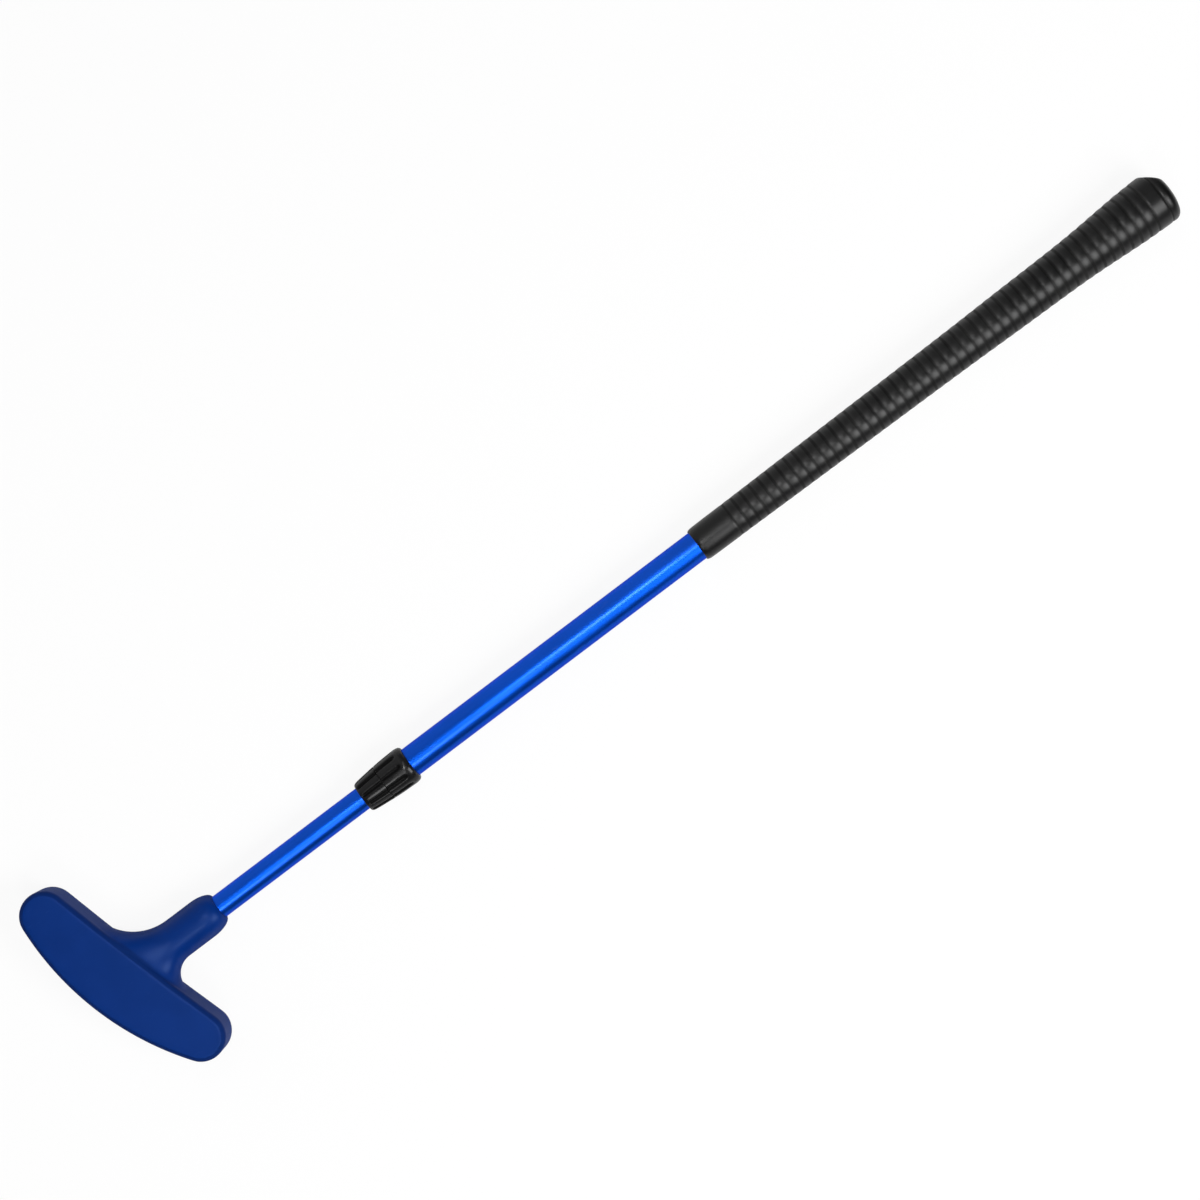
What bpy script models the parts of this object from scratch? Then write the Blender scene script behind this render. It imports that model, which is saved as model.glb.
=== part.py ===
"""Two-way golf putter with a telescopic shaft.

The putter lies on one striking face. X runs along the shaft from the head to the butt of the grip, Y points to the
toe of the head and Z is up. The origin is the centre of the striking face that it lies on. Sizes are in millimetres
in the constants and become metres where a mesh is made.
"""

import math

import bmesh
import bpy
from mathutils import Matrix, Vector

MM = 0.001
GAP = 0.3
SLIDE_GAP = 0.15

# Striking head: thickness between the two faces, and its outline in the plane of a face
HEAD_THICKNESS = 26.5
HEAD_EDGE_RADIUS = 1.4
LOBE_OFFSET = 46.1
LOBE_RADIUS = 11.0
LOBE_RISE = 0.8
TOP_DIP = 0.2
TOP_DIP_AT = 21.0
SOLE_DEPTH = 18.8
HEAD_TOE_SHIFT = 1.0
LIE_ANGLE = 74.6

# Hosel: the round neck of the head and the fillets that spread it into the bar
HOSEL_RADIUS = 9.75
HOSEL_END = 54.0
HOSEL_NOSE = (10.0, 4.2)
HOSEL_NOSE_STOP = 78.0
FILLET_TOE = 24.0
FILLET_HEEL = 10.5
ROOT_HALF_DEPTH = 10.7
ROOT_SQUARENESS = 2.9

# Iron core inside the head
CORE_SIZE = (78.0, 14.0, 17.0)
CORE_EDGE = 1.0
PIN_RADIUS = 1.5
PIN_AT = 2.0

# Tubes
LOWER_RADIUS = 5.65
LOWER_WALL = 0.8
LOWER_START = -4.5
LOWER_END = 470.0
UPPER_RADIUS = 7.2
UPPER_WALL = 0.7
UPPER_START = 151.5
UPPER_END = 594.0

# Twist lock: lock nut, collet and lock base
NUT_START = 137.0
NUT_END = 148.9
SEAM = 0.3
BASE_END = 165.0
NUT_RADII = ((0.0, 7.0), (0.6, 7.45), (1.6, 7.75), (4.6, 8.15), (8.2, 8.45), (11.2, 8.7), (11.9, 8.45))
BASE_RADII = ((0.0, 8.8), (0.5, 9.1), (4.5, 9.2), (10.0, 9.38), (12.4, 9.36), (15.2, 8.3), (15.8, 7.75))
NUT_WALL = 2.0
THREAD_RADIUS = 6.7
SPIGOT_START = 141.5
SPIGOT_BORE = 5.9
CONE_LENGTH = 3.0
CONE_MOUTH = 6.45
COLLET_LENGTH = 3.9
COLLET_RADIUS = 6.55
COLLET_TIP = 6.0
SLIT = 1.5
FLUTES = 10
FLUTE_DEPTH = 0.55
NUT_TURN = 12.0
BASE_TURN = 8.0

# Telescope stops: how far the lower tube slides out from the place it is stored in
EXTENSION = 265.0
BUSH_RADIUS = 6.35
PLUG_SPIGOT = 14.0
PLUG_RADIUS = 6.1
PLUG_FLANGE = 3.0
RING_WIDTH = 10.0
RING_GROOVE = 5.0
RING_RADIUS = 6.35

# Tube cap and tape under the grip
CAP_SPIGOT = 11.0
CAP_FLANGE = 1.3
TAPE_RADII = (7.35, 7.55)
TAPE_SPAN = (334.0, 592.0)

# Grip: radius against distance from its lower end, ribs and butt
GRIP_START = 330.0
GRIP_LENGTH = 271.6
GRIP_RADII = ((0.0, 8.05), (2.5, 8.4), (20.0, 8.55), (60.0, 8.95), (105.0, 9.35), (150.0, 9.8), (180.0, 10.35),
              (212.0, 10.85), (226.0, 11.4), (240.0, 12.3), (251.0, 12.95), (262.0, 13.2), (267.0, 13.25))
GRIP_BORE = 7.7
GRIP_POCKET = 265.6
VENT_RADIUS = 1.5
RIB_START = 20.0
RIB_PITCH = 5.055
RIB_COUNT = 47
RIB_DEPTHS = (0.22, 0.5)
BUTT_CORNER = 4.2
BUTT_DOME = 1.1
BEVEL_LENGTH = 8.0
BEVEL_DEPTH = 8.25

TURN_STEPS = 32
GRIP_STEPS = 24
FLUTED_STEPS = 60
AXIS_Z = HEAD_THICKNESS / 2

BLUE_ANODISED = ((0.003, 0.09, 0.55, 1.0), 0.32, 1.0)
BLUE_RUBBER = ((0.004, 0.028, 0.19, 1.0), 0.55, 0.0)
BLACK_RUBBER = ((0.018, 0.018, 0.019, 1.0), 0.6, 0.0)
BLACK_PLASTIC = ((0.012, 0.012, 0.013, 1.0), 0.22, 0.0)
PALE_PLASTIC = ((0.7, 0.69, 0.65, 1.0), 0.45, 0.0)
STEEL = ((0.5, 0.5, 0.5, 1.0), 0.4, 1.0)
TAPE = ((0.62, 0.55, 0.4, 1.0), 0.7, 0.0)


def clear_scene():
    """Removes whatever the startup file holds."""
    for obj in list(bpy.data.objects):
        bpy.data.objects.remove(obj, do_unlink=True)


def make_collection(name):
    """Adds a collection to the scene."""
    collection = bpy.data.collections.new(name)
    bpy.context.scene.collection.children.link(collection)
    return collection


def make_material(name, look):
    """A plain finish: colour, roughness and how metallic it is."""
    colour, roughness, metallic = look
    material = bpy.data.materials.new(name)
    material.use_nodes = True
    shader = material.node_tree.nodes["Principled BSDF"]
    shader.inputs["Base Color"].default_value = colour
    shader.inputs["Roughness"].default_value = roughness
    shader.inputs["Metallic"].default_value = metallic
    return material


def add_object(name, mesh, collection, look=None):
    """Puts a mesh in the scene as an object, with its own material if it has a look."""
    obj = bpy.data.objects.new(name, mesh)
    collection.objects.link(obj)
    if look:
        mesh.materials.clear()
        mesh.materials.append(make_material(name + "_finish", look))
    return obj


def mesh_from_bmesh(name, bm):
    """Turns a bmesh into a mesh and frees it."""
    mesh = bpy.data.meshes.new(name)
    bm.to_mesh(mesh)
    bm.free()
    return mesh


def evaluated_mesh(obj):
    """The mesh of an object with its modifiers or its curve settings worked in, and its seams welded."""
    graph = bpy.context.evaluated_depsgraph_get()
    mesh = bpy.data.meshes.new_from_object(obj.evaluated_get(graph))
    bm = bmesh.new()
    bm.from_mesh(mesh)
    bmesh.ops.remove_doubles(bm, verts=bm.verts, dist=1e-6)
    bm.to_mesh(mesh)
    bm.free()
    return mesh


def shade_round(obj):
    """Smooth shading, with the real corners kept sharp."""
    obj.data.shade_smooth()
    obj.data.set_sharp_from_angle(angle=math.radians(35))


def lay_on_shaft(obj, turn=0.0):
    """Stands an object's own Z axis along the shaft and turns it about the shaft, in degrees."""
    obj.matrix_world = (
        Matrix.Translation((0.0, 0.0, AXIS_Z * MM))
        @ Matrix.Rotation(math.radians(90), 4, "Y")
        @ Matrix.Rotation(math.radians(turn), 4, "Z")
    )


def turned(name, profile, collection, look=None, steps=TURN_STEPS, ring=True):
    """A turned piece. The profile is (place along the shaft, radius), from the butt end down the outer side.

    A ring's profile closes on itself. A solid's profile starts and ends on the axis.
    """
    mesh = bpy.data.meshes.new(name)
    points = [(radius * MM, 0.0, along * MM) for along, radius in profile]
    edges = [(i, i + 1) for i in range(len(points) - 1)]
    if ring:
        edges.append((len(points) - 1, 0))
    mesh.from_pydata(points, edges, [])
    obj = add_object(name, mesh, collection, look)
    screw = obj.modifiers.new("turn", "SCREW")
    screw.axis = "Z"
    screw.angle = math.tau
    screw.steps = steps
    screw.render_steps = steps
    screw.use_merge_vertices = True
    screw.merge_threshold = 1e-6
    screw.use_smooth_shade = False
    lay_on_shaft(obj)
    return obj


def settle(obj, collection):
    """Replaces an object by the plain mesh that its modifiers make, at the same place."""
    mesh = evaluated_mesh(obj)
    name, place = obj.name, obj.matrix_world.copy()
    mesh.materials.clear()
    for slot in obj.material_slots:
        mesh.materials.append(slot.material)
    bpy.data.objects.remove(obj, do_unlink=True)
    settled = bpy.data.objects.new(name, mesh)
    collection.objects.link(settled)
    settled.matrix_world = place
    return settled


def cut(obj, cutter, operation="DIFFERENCE"):
    """Adds a Boolean that takes the cutter from the object, or joins it on."""
    boolean = obj.modifiers.new(operation.lower(), "BOOLEAN")
    boolean.operation = operation
    boolean.solver = "EXACT"
    boolean.object = cutter
    cutter.hide_render = True
    cutter.display_type = "WIRE"


def ring_profile(start, end, outer, inner):
    """The profile of a plain sleeve between two places on the shaft."""
    return [(end, outer), (start, outer), (start, inner), (end, inner)]


def box_cutter(name, low, high, collection):
    """A box between two corners, in millimetres."""
    bm = bmesh.new()
    bmesh.ops.create_cube(bm, size=1.0)
    size = Vector(high) - Vector(low)
    centre = (Vector(high) + Vector(low)) / 2
    bmesh.ops.scale(bm, vec=size * MM, verts=bm.verts)
    bmesh.ops.translate(bm, vec=centre * MM, verts=bm.verts)
    return add_object(name, mesh_from_bmesh(name, bm), collection)


def slit_cutter(name, start, end, collection):
    """A slot along the shaft, through the wall on the side of the heel."""
    return box_cutter(
        name,
        (start, -3 * UPPER_RADIUS, AXIS_Z - SLIT / 2),
        (end, -LOWER_RADIUS / 2, AXIS_Z + SLIT / 2),
        collection,
    )


def head_axes():
    """Unit vectors in the plane of the faces: along the head to the heel, and down to the sole."""
    lie = math.radians(LIE_ANGLE)
    heel = Vector((math.cos(lie), -math.sin(lie)))
    sole = Vector((-math.sin(lie), -math.cos(lie)))
    return heel, sole


def head_matrix():
    """Places head coordinates, X to the heel and Y to the toe end of the hosel side, in the world."""
    heel, sole = head_axes()
    place = Matrix.Identity(4)
    place.col[0] = (heel.x, heel.y, 0.0, 0.0)
    place.col[1] = (-sole.x, -sole.y, 0.0, 0.0)
    place.col[3] = (0.0, HEAD_TOE_SHIFT * MM, AXIS_Z * MM, 1.0)
    return place


def arc(centre, radius, start, end, count):
    """Points along an arc, angles in degrees."""
    angles = [math.radians(start + (end - start) * i / count) for i in range(count + 1)]
    return [(centre[0] + radius * math.cos(a), centre[1] + radius * math.sin(a)) for a in angles]


def head_outline():
    """The outline of the striking face in head coordinates: two round lobes, a long arc for a sole, a dipped top."""
    drop = SOLE_DEPTH + LOBE_RISE
    sole_radius = (LOBE_OFFSET**2 + drop**2 - LOBE_RADIUS**2) / (2 * (drop - LOBE_RADIUS))
    sole_centre = sole_radius - SOLE_DEPTH
    reach = math.degrees(math.atan2(LOBE_OFFSET, sole_centre - LOBE_RISE))
    lean = math.degrees(math.atan2(TOP_DIP, LOBE_OFFSET - TOP_DIP_AT))
    heel_lobe = arc((LOBE_OFFSET, LOBE_RISE), LOBE_RADIUS, reach - 90, 90 + lean, 14)
    toe_lobe = arc((-LOBE_OFFSET, LOBE_RISE), LOBE_RADIUS, 90 - lean, 270 - reach, 14)
    top = LOBE_RISE + LOBE_RADIUS - TOP_DIP
    sole = arc((0.0, sole_centre), sole_radius, 270 - reach, 270 + reach, 16)
    return heel_lobe + [(TOP_DIP_AT, top), (-TOP_DIP_AT, top)] + toe_lobe + sole[1:-1]


def head_bar(collection):
    """The bar of the head: its outline, raised to the thickness, with rounded edges."""
    curve = bpy.data.curves.new("head_bar", "CURVE")
    curve.dimensions = "2D"
    curve.fill_mode = "BOTH"
    curve.extrude = (HEAD_THICKNESS / 2 - HEAD_EDGE_RADIUS) * MM
    curve.bevel_depth = HEAD_EDGE_RADIUS * MM
    curve.bevel_resolution = 1
    curve.offset = -HEAD_EDGE_RADIUS * MM
    points = head_outline()
    spline = curve.splines.new("POLY")
    spline.points.add(len(points) - 1)
    for point, (x, y) in zip(spline.points, points):
        point.co = (x * MM, y * MM, 0.0, 1.0)
    spline.use_cyclic_u = True
    outline = bpy.data.objects.new("head_bar_outline", curve)
    collection.objects.link(outline)
    outline.matrix_world = head_matrix()
    bpy.context.view_layer.update()
    bar = add_object("head_bar_solid", evaluated_mesh(outline), collection)
    bar.matrix_world = outline.matrix_world.copy()
    bpy.data.objects.remove(outline, do_unlink=True)
    return bar


def hosel_edges():
    """Where the hosel's two edges run in the plane of the faces, station by station, from its end into the head."""
    heel, sole = head_axes()
    top = LOBE_RISE + LOBE_RADIUS - TOP_DIP
    foot = Vector((0.0, HEAD_TOE_SHIFT)) - sole * top
    lie = math.radians(LIE_ANGLE)
    toe_corner = foot.x - (HOSEL_RADIUS - foot.y) * heel.x / -heel.y
    heel_corner = foot.x + (HOSEL_RADIUS + foot.y) * heel.x / -heel.y
    toe_start = toe_corner + FILLET_TOE / math.tan((math.pi - lie) / 2)
    heel_start = heel_corner + FILLET_HEEL / math.tan(lie / 2)
    stations = []
    nose_length, nose_depth = HOSEL_NOSE
    for i in range(6, -1, -1):
        angle = math.radians(HOSEL_NOSE_STOP * i / 6)
        along = HOSEL_END - nose_length * (1 - math.sin(angle))
        radius = HOSEL_RADIUS - nose_depth * (1 - math.cos(angle))
        stations.append((Vector((along, radius)), Vector((along, -radius))))
    fillet_steps = 9
    for i in range(fillet_steps + 1):
        share = i / fillet_steps
        toe_angle = math.radians(-90 - (LIE_ANGLE) * share)
        heel_angle = math.radians(90 + (180 - LIE_ANGLE) * share)
        toe = Vector((toe_start, HOSEL_RADIUS + FILLET_TOE))
        toe += FILLET_TOE * Vector((math.cos(toe_angle), math.sin(toe_angle)))
        far = Vector((heel_start, -HOSEL_RADIUS - FILLET_HEEL))
        far += FILLET_HEEL * Vector((math.cos(heel_angle), math.sin(heel_angle)))
        stations.append((toe, far))
    toe, far = stations[-1]
    inset = sole * 3.0
    stations.append((toe + inset + heel * 1.5, far + inset - heel * 1.5))
    return stations, len(stations) - fillet_steps - 2


def hosel_loft(collection):
    """The hosel: a round neck that spreads into a flat-sided root, as a loft between unlike sections."""
    stations, first_fillet = hosel_edges()
    steps = TURN_STEPS
    bm = bmesh.new()
    rings = []
    for index, (toe, far) in enumerate(stations):
        share = max(0.0, (index - first_fillet) / (len(stations) - 1 - first_fillet))
        middle = (toe + far) / 2
        half = (toe - far) / 2
        depth = half.length if index <= first_fillet else HOSEL_RADIUS + (ROOT_HALF_DEPTH - HOSEL_RADIUS) * share
        power = 2.0 / (2.0 + (ROOT_SQUARENESS - 2.0) * share)
        ring = []
        for k in range(steps):
            angle = math.tau * k / steps
            across = math.copysign(abs(math.cos(angle)) ** power, math.cos(angle))
            up = math.copysign(abs(math.sin(angle)) ** power, math.sin(angle))
            point = middle + half * across
            ring.append(bm.verts.new((point.x * MM, point.y * MM, (AXIS_Z + depth * up) * MM)))
        rings.append(ring)
    for upper, lower in zip(rings, rings[1:]):
        for k in range(steps):
            n = (k + 1) % steps
            bm.faces.new((upper[k], upper[n], lower[n], lower[k]))
    bm.faces.new(rings[0])
    bm.faces.new(rings[-1])
    bmesh.ops.recalc_face_normals(bm, faces=bm.faces)
    return add_object("hosel_solid", mesh_from_bmesh("hosel_solid", bm), collection)


def core_box(name, grow, collection, look=None):
    """The iron core's bar, or the pocket for it when grown by a gap, with rounded long edges."""
    bm = bmesh.new()
    bmesh.ops.create_cube(bm, size=1.0)
    bmesh.ops.scale(bm, vec=[(side + 2 * grow) * MM for side in CORE_SIZE], verts=bm.verts)
    obj = add_object(name, mesh_from_bmesh(name, bm), collection, look)
    obj.matrix_world = head_matrix()
    bevel = obj.modifiers.new("edges", "BEVEL")
    bevel.width = CORE_EDGE * MM
    bevel.segments = 2
    return obj


def pin_cylinder(name, radius, length, collection, look=None):
    """A cylinder that stands across the shaft where the anchor pin goes."""
    bm = bmesh.new()
    bmesh.ops.create_cone(
        bm, cap_ends=True, segments=16, radius1=radius * MM, radius2=radius * MM, depth=length * MM
    )
    obj = add_object(name, mesh_from_bmesh(name, bm), collection, look)
    obj.location = (PIN_AT * MM, 0.0, AXIS_Z * MM)
    return obj


def build_head(parts, cutters):
    """The rubber head, its iron core and the anchor pin."""
    head = head_bar(parts)
    head.name = "putter_head"
    head.data.materials.append(make_material("putter_head_finish", BLUE_RUBBER))
    cut(head, hosel_loft(cutters), "UNION")
    cut(head, core_box("core_pocket", GAP, cutters))
    bore = LOWER_RADIUS + SLIDE_GAP
    head_bore = turned("head_bore", [(HOSEL_END + 5, 0), (HOSEL_END + 5, bore), (0, bore), (0, 0)], cutters, ring=False)
    cut(head, head_bore)
    shade_round(head)

    core = core_box("head_core", 0.0, parts, STEEL)
    socket_end = LOWER_START - GAP
    socket = turned("core_socket", [(40, 0), (40, bore), (socket_end, bore), (socket_end, 0)], cutters, ring=False)
    cut(core, socket)
    cut(core, pin_cylinder("core_pin_hole", PIN_RADIUS + SLIDE_GAP, CORE_SIZE[2] + 4, cutters))

    pin = pin_cylinder("anchor_pin", PIN_RADIUS, CORE_SIZE[2] - 0.6, parts, STEEL)
    shade_round(pin)
    return [head, core, pin]


def build_lower_shaft(parts, cutters):
    """The lower tube with the plug in its top end, and the split ring that guides it."""
    inner = LOWER_RADIUS - LOWER_WALL
    tube = turned("lower_tube", ring_profile(LOWER_START, LOWER_END, LOWER_RADIUS, inner), parts, BLUE_ANODISED)
    cut(tube, pin_cylinder("tube_pin_hole", PIN_RADIUS + SLIDE_GAP, 4 * LOWER_RADIUS, cutters))
    shade_round(tube)

    shoulder = LOWER_END + GAP
    groove = shoulder + PLUG_FLANGE
    flange = groove + RING_WIDTH
    top = flange + PLUG_FLANGE
    spigot = inner - 0.25
    profile = [
        (top, 0),
        (top, PLUG_RADIUS - 0.6),
        (top - 0.6, PLUG_RADIUS),
        (flange, PLUG_RADIUS),
        (flange, RING_GROOVE),
        (groove, RING_GROOVE),
        (groove, PLUG_RADIUS),
        (shoulder, PLUG_RADIUS),
        (shoulder, spigot),
        (shoulder - PLUG_SPIGOT, spigot),
        (shoulder - PLUG_SPIGOT, 0),
    ]
    plug = turned("guide_plug", profile, parts, BLACK_PLASTIC, ring=False)
    shade_round(plug)

    ring_bore = RING_GROOVE + 0.2
    profile = ring_profile(groove + GAP, flange - GAP, RING_RADIUS, ring_bore)
    ring = turned("glide_ring", profile, parts, PALE_PLASTIC)
    cut(ring, slit_cutter("glide_ring_slit", groove - 1, flange + 1, cutters))
    shade_round(ring)
    return [tube, plug], ring


def flute(obj, collection, lowest_radius, turn):
    """Presses finger flutes into the outside of a turned piece, and turns it about the shaft."""
    obj = settle(obj, collection)
    for vertex in obj.data.vertices:
        radius = math.hypot(vertex.co.x, vertex.co.y) / MM
        if radius < lowest_radius:
            continue
        angle = math.atan2(vertex.co.y, vertex.co.x)
        press = FLUTE_DEPTH * (0.5 - 0.5 * math.cos(FLUTES * angle)) ** 1.5
        vertex.co.x *= (radius - press) / radius
        vertex.co.y *= (radius - press) / radius
    lay_on_shaft(obj, turn)
    return obj


def outside(start, radii):
    """The outer side of a profile, from the butt end down, of a piece that starts at a place on the shaft."""
    return [(start + along, radius) for along, radius in reversed(radii)]


def build_lock(parts, cutters):
    """The twist lock: the base on the upper tube, the collet and the nut that pushes it."""
    base_start = NUT_END + SEAM
    tube_seat = UPPER_START - GAP
    tube_bore = UPPER_RADIUS + SLIDE_GAP
    profile = outside(base_start, BASE_RADII) + [
        (base_start, THREAD_RADIUS),
        (SPIGOT_START, THREAD_RADIUS),
        (SPIGOT_START, CONE_MOUTH),
        (SPIGOT_START + CONE_LENGTH, SPIGOT_BORE),
        (tube_seat, SPIGOT_BORE),
        (tube_seat, tube_bore),
        (BASE_END, tube_bore),
    ]
    base = turned("lock_base", profile, parts, BLACK_PLASTIC, FLUTED_STEPS)
    base = flute(base, parts, tube_bore + 0.6, BASE_TURN)
    shade_round(base)

    pocket = NUT_START + NUT_WALL
    profile = outside(NUT_START, NUT_RADII) + [
        (NUT_START, SPIGOT_BORE),
        (pocket, SPIGOT_BORE),
        (pocket, THREAD_RADIUS + SLIDE_GAP),
        (NUT_END, THREAD_RADIUS + SLIDE_GAP),
    ]
    nut = turned("lock_nut", profile, parts, BLACK_PLASTIC, FLUTED_STEPS)
    nut = flute(nut, parts, THREAD_RADIUS + SLIDE_GAP + 0.4, NUT_TURN)
    shade_round(nut)

    collet_start = pocket + GAP
    collet_end = collet_start + COLLET_LENGTH
    profile = [
        (collet_end, COLLET_TIP),
        (SPIGOT_START - GAP, CONE_MOUTH - 0.15),
        (SPIGOT_START - GAP, COLLET_RADIUS),
        (collet_start, COLLET_RADIUS),
        (collet_start, LOWER_RADIUS + SLIDE_GAP),
        (collet_end, LOWER_RADIUS + SLIDE_GAP),
    ]
    collet = turned("lock_collet", profile, parts, PALE_PLASTIC)
    cut(collet, slit_cutter("collet_slit", pocket - 1, collet_end + 1, cutters))
    shade_round(collet)
    return base, collet, nut


def build_upper_shaft(parts):
    """The upper tube, the bush in its mouth and the cap in its top end."""
    inner = UPPER_RADIUS - UPPER_WALL
    tube = turned("upper_tube", ring_profile(UPPER_START, UPPER_END, UPPER_RADIUS, inner), parts, BLUE_ANODISED)
    bush_end = LOWER_END - EXTENSION
    profile = ring_profile(UPPER_START + GAP, bush_end, BUSH_RADIUS, LOWER_RADIUS + 0.2)
    bush = turned("tube_bush", profile, parts, PALE_PLASTIC)
    seat = UPPER_END + GAP
    spigot = inner - 0.2
    profile = [
        (seat + CAP_FLANGE, 0),
        (seat + CAP_FLANGE, UPPER_RADIUS - 0.1),
        (seat, UPPER_RADIUS - 0.1),
        (seat, spigot),
        (seat - CAP_SPIGOT, spigot),
        (seat - CAP_SPIGOT, 0),
    ]
    cap = turned("tube_cap", profile, parts, BLACK_PLASTIC, ring=False)
    for obj in (tube, bush, cap):
        shade_round(obj)
    return [tube, bush, cap]


def grip_radius(along):
    """The grip's radius over its ribs, at a distance from its lower end: a smooth line through the given radii."""
    places = [place for place, _ in GRIP_RADII]
    radii = [radius for _, radius in GRIP_RADII]
    slopes = []
    for i in range(len(places)):
        before, after = max(i - 1, 0), min(i + 1, len(places) - 1)
        slopes.append((radii[after] - radii[before]) / (places[after] - places[before]))
    for i in range(len(places) - 1):
        if along <= places[i + 1]:
            break
    span = places[i + 1] - places[i]
    t = (along - places[i]) / span
    ease = 3 * t**2 - 2 * t**3
    bend = slopes[i] * span * (t - 2 * t**2 + t**3) + slopes[i + 1] * span * (t**3 - t**2)
    return radii[i] + (radii[i + 1] - radii[i]) * ease + bend


def grip_profile():
    """The grip's profile from its vent hole down the butt, over the ribs, and back up its bore."""
    corner_at = GRIP_LENGTH - BUTT_DOME - BUTT_CORNER
    corner_radius = GRIP_RADII[-1][1] - BUTT_CORNER
    outer = [(GRIP_LENGTH, VENT_RADIUS), (GRIP_LENGTH - 0.3, corner_radius / 2)]
    for i in range(5):
        angle = math.radians(82 - 20.5 * i)
        outer.append((corner_at + BUTT_CORNER * math.sin(angle), corner_radius + BUTT_CORNER * math.cos(angle)))
    ribs_end = RIB_START + RIB_COUNT * RIB_PITCH
    last_groove = ribs_end + 1.5 * RIB_PITCH
    outer += [(last_groove + 0.8, grip_radius(last_groove)), (last_groove, grip_radius(last_groove) - RIB_DEPTHS[1])]
    outer.append((last_groove - 0.8, grip_radius(last_groove)))
    outer.append((ribs_end + 0.8, grip_radius(ribs_end)))
    for i in range(RIB_COUNT, 0, -1):
        groove = RIB_START + i * RIB_PITCH
        crest = groove - RIB_PITCH / 2
        depth = RIB_DEPTHS[0] + (RIB_DEPTHS[1] - RIB_DEPTHS[0]) * i / RIB_COUNT
        outer.append((groove, grip_radius(groove) - depth))
        outer.append((crest, grip_radius(crest)))
    outer.append((RIB_START, grip_radius(RIB_START) - RIB_DEPTHS[0]))
    outer += [(place, radius) for place, radius in reversed(GRIP_RADII) if place < RIB_START]
    bore = [(0.0, GRIP_BORE), (GRIP_POCKET, GRIP_BORE), (GRIP_POCKET, VENT_RADIUS)]
    return [(GRIP_START + along, radius) for along, radius in outer + bore]


def bevel_cutter(collection):
    """A block whose lower side is the slanting cut across the toe side of the butt."""
    block = box_cutter("butt_bevel", (0, -20, -20), (20, 20, 20), collection)
    slope = math.atan2(BEVEL_LENGTH, BEVEL_DEPTH)
    rim = GRIP_RADII[-1][1]
    block.matrix_world = (
        Matrix.Translation(((GRIP_START + GRIP_LENGTH) * MM, (rim - BEVEL_DEPTH) * MM, AXIS_Z * MM))
        @ Matrix.Rotation(slope, 4, "Z")
    )
    return block


def build_grip(parts, cutters):
    """The rubber grip and the tape that it sits on."""
    start, end = TAPE_SPAN
    tape = turned("grip_tape", ring_profile(start, end, TAPE_RADII[1], TAPE_RADII[0]), parts, TAPE)
    cut(tape, slit_cutter("tape_seam", start - 1, end + 1, cutters))
    shade_round(tape)
    grip = turned("grip_sleeve", grip_profile(), parts, BLACK_RUBBER, GRIP_STEPS)
    cut(grip, bevel_cutter(cutters))
    shade_round(grip)
    return [tape, grip]


def hold(name, objects, collection, parent=None):
    """Parents objects to an empty that stands on the shaft's axis, where their joint turns or slides."""
    empty = bpy.data.objects.new(name, None)
    collection.objects.link(empty)
    empty.location = (0.0, 0.0, AXIS_Z * MM)
    if parent:
        empty.parent = parent
        empty.location = (0.0, 0.0, 0.0)
    bpy.context.view_layer.update()
    for obj in objects:
        place = obj.matrix_world.copy()
        obj.parent = empty
        obj.matrix_parent_inverse = empty.matrix_world.inverted()
        obj.matrix_world = place
    return empty


def main():
    clear_scene()
    parts = make_collection("two_way_putter")
    cutters = make_collection("cutters")
    head = build_head(parts, cutters)
    lower, ring = build_lower_shaft(parts, cutters)
    base, collet, nut = build_lock(parts, cutters)
    upper = build_upper_shaft(parts)
    grip = build_grip(parts, cutters)
    fixed = hold("upper_assembly", [base] + upper + grip, parts)
    thrust = hold("collet_carrier", [collet], parts, fixed)
    hold("nut_axis", [nut], parts, thrust)
    slide = hold("length_slide", [ring], parts, fixed)
    hold("lower_assembly", lower + head, parts, slide)


main()
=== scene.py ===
"""Looks of a telescopic two-way putter: its head, tubes, twist lock and grip, and the studio round it.

The putter lies on one striking face. X runs along the shaft from the head to the butt of the grip, Y points
to the toe of the head and Z is up. Sizes are in millimetres in the classes and become metres where a mesh is
made.
"""

import logging
import math
from collections.abc import Callable
from dataclasses import dataclass
from enum import Enum
from functools import cache

import bmesh
import bpy
from bpy.types import Material, Mesh, Node, NodeSocket, NodeTree, Object
from mathutils import Matrix, Vector


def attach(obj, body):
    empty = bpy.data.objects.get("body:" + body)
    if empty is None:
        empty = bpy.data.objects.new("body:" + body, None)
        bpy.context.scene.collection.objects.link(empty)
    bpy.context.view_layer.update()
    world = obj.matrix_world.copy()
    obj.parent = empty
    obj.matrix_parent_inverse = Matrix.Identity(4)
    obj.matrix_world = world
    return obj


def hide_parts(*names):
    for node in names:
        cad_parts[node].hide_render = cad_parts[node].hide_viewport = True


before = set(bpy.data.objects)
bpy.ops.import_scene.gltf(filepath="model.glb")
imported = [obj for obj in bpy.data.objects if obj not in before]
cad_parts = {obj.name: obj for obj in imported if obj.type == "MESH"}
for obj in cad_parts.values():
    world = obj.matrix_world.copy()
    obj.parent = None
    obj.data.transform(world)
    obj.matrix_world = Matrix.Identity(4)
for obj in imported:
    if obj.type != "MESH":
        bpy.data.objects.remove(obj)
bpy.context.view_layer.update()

LOG = logging.getLogger("putter")
# A millimetre in metres, the height of the shaft's axis and the play of pieces that slide.
MM = 0.001
AXIS_Z = 13.25
SLIDE_GAP = 0.15

Place = tuple[float, float]
Triple = tuple[float, float, float]


class Body(Enum):
    """The bodies that carry new pieces."""

    UPPER = "upper_assembly"
    NUT = "nut"
    LOWER = "lower_assembly"


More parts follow.
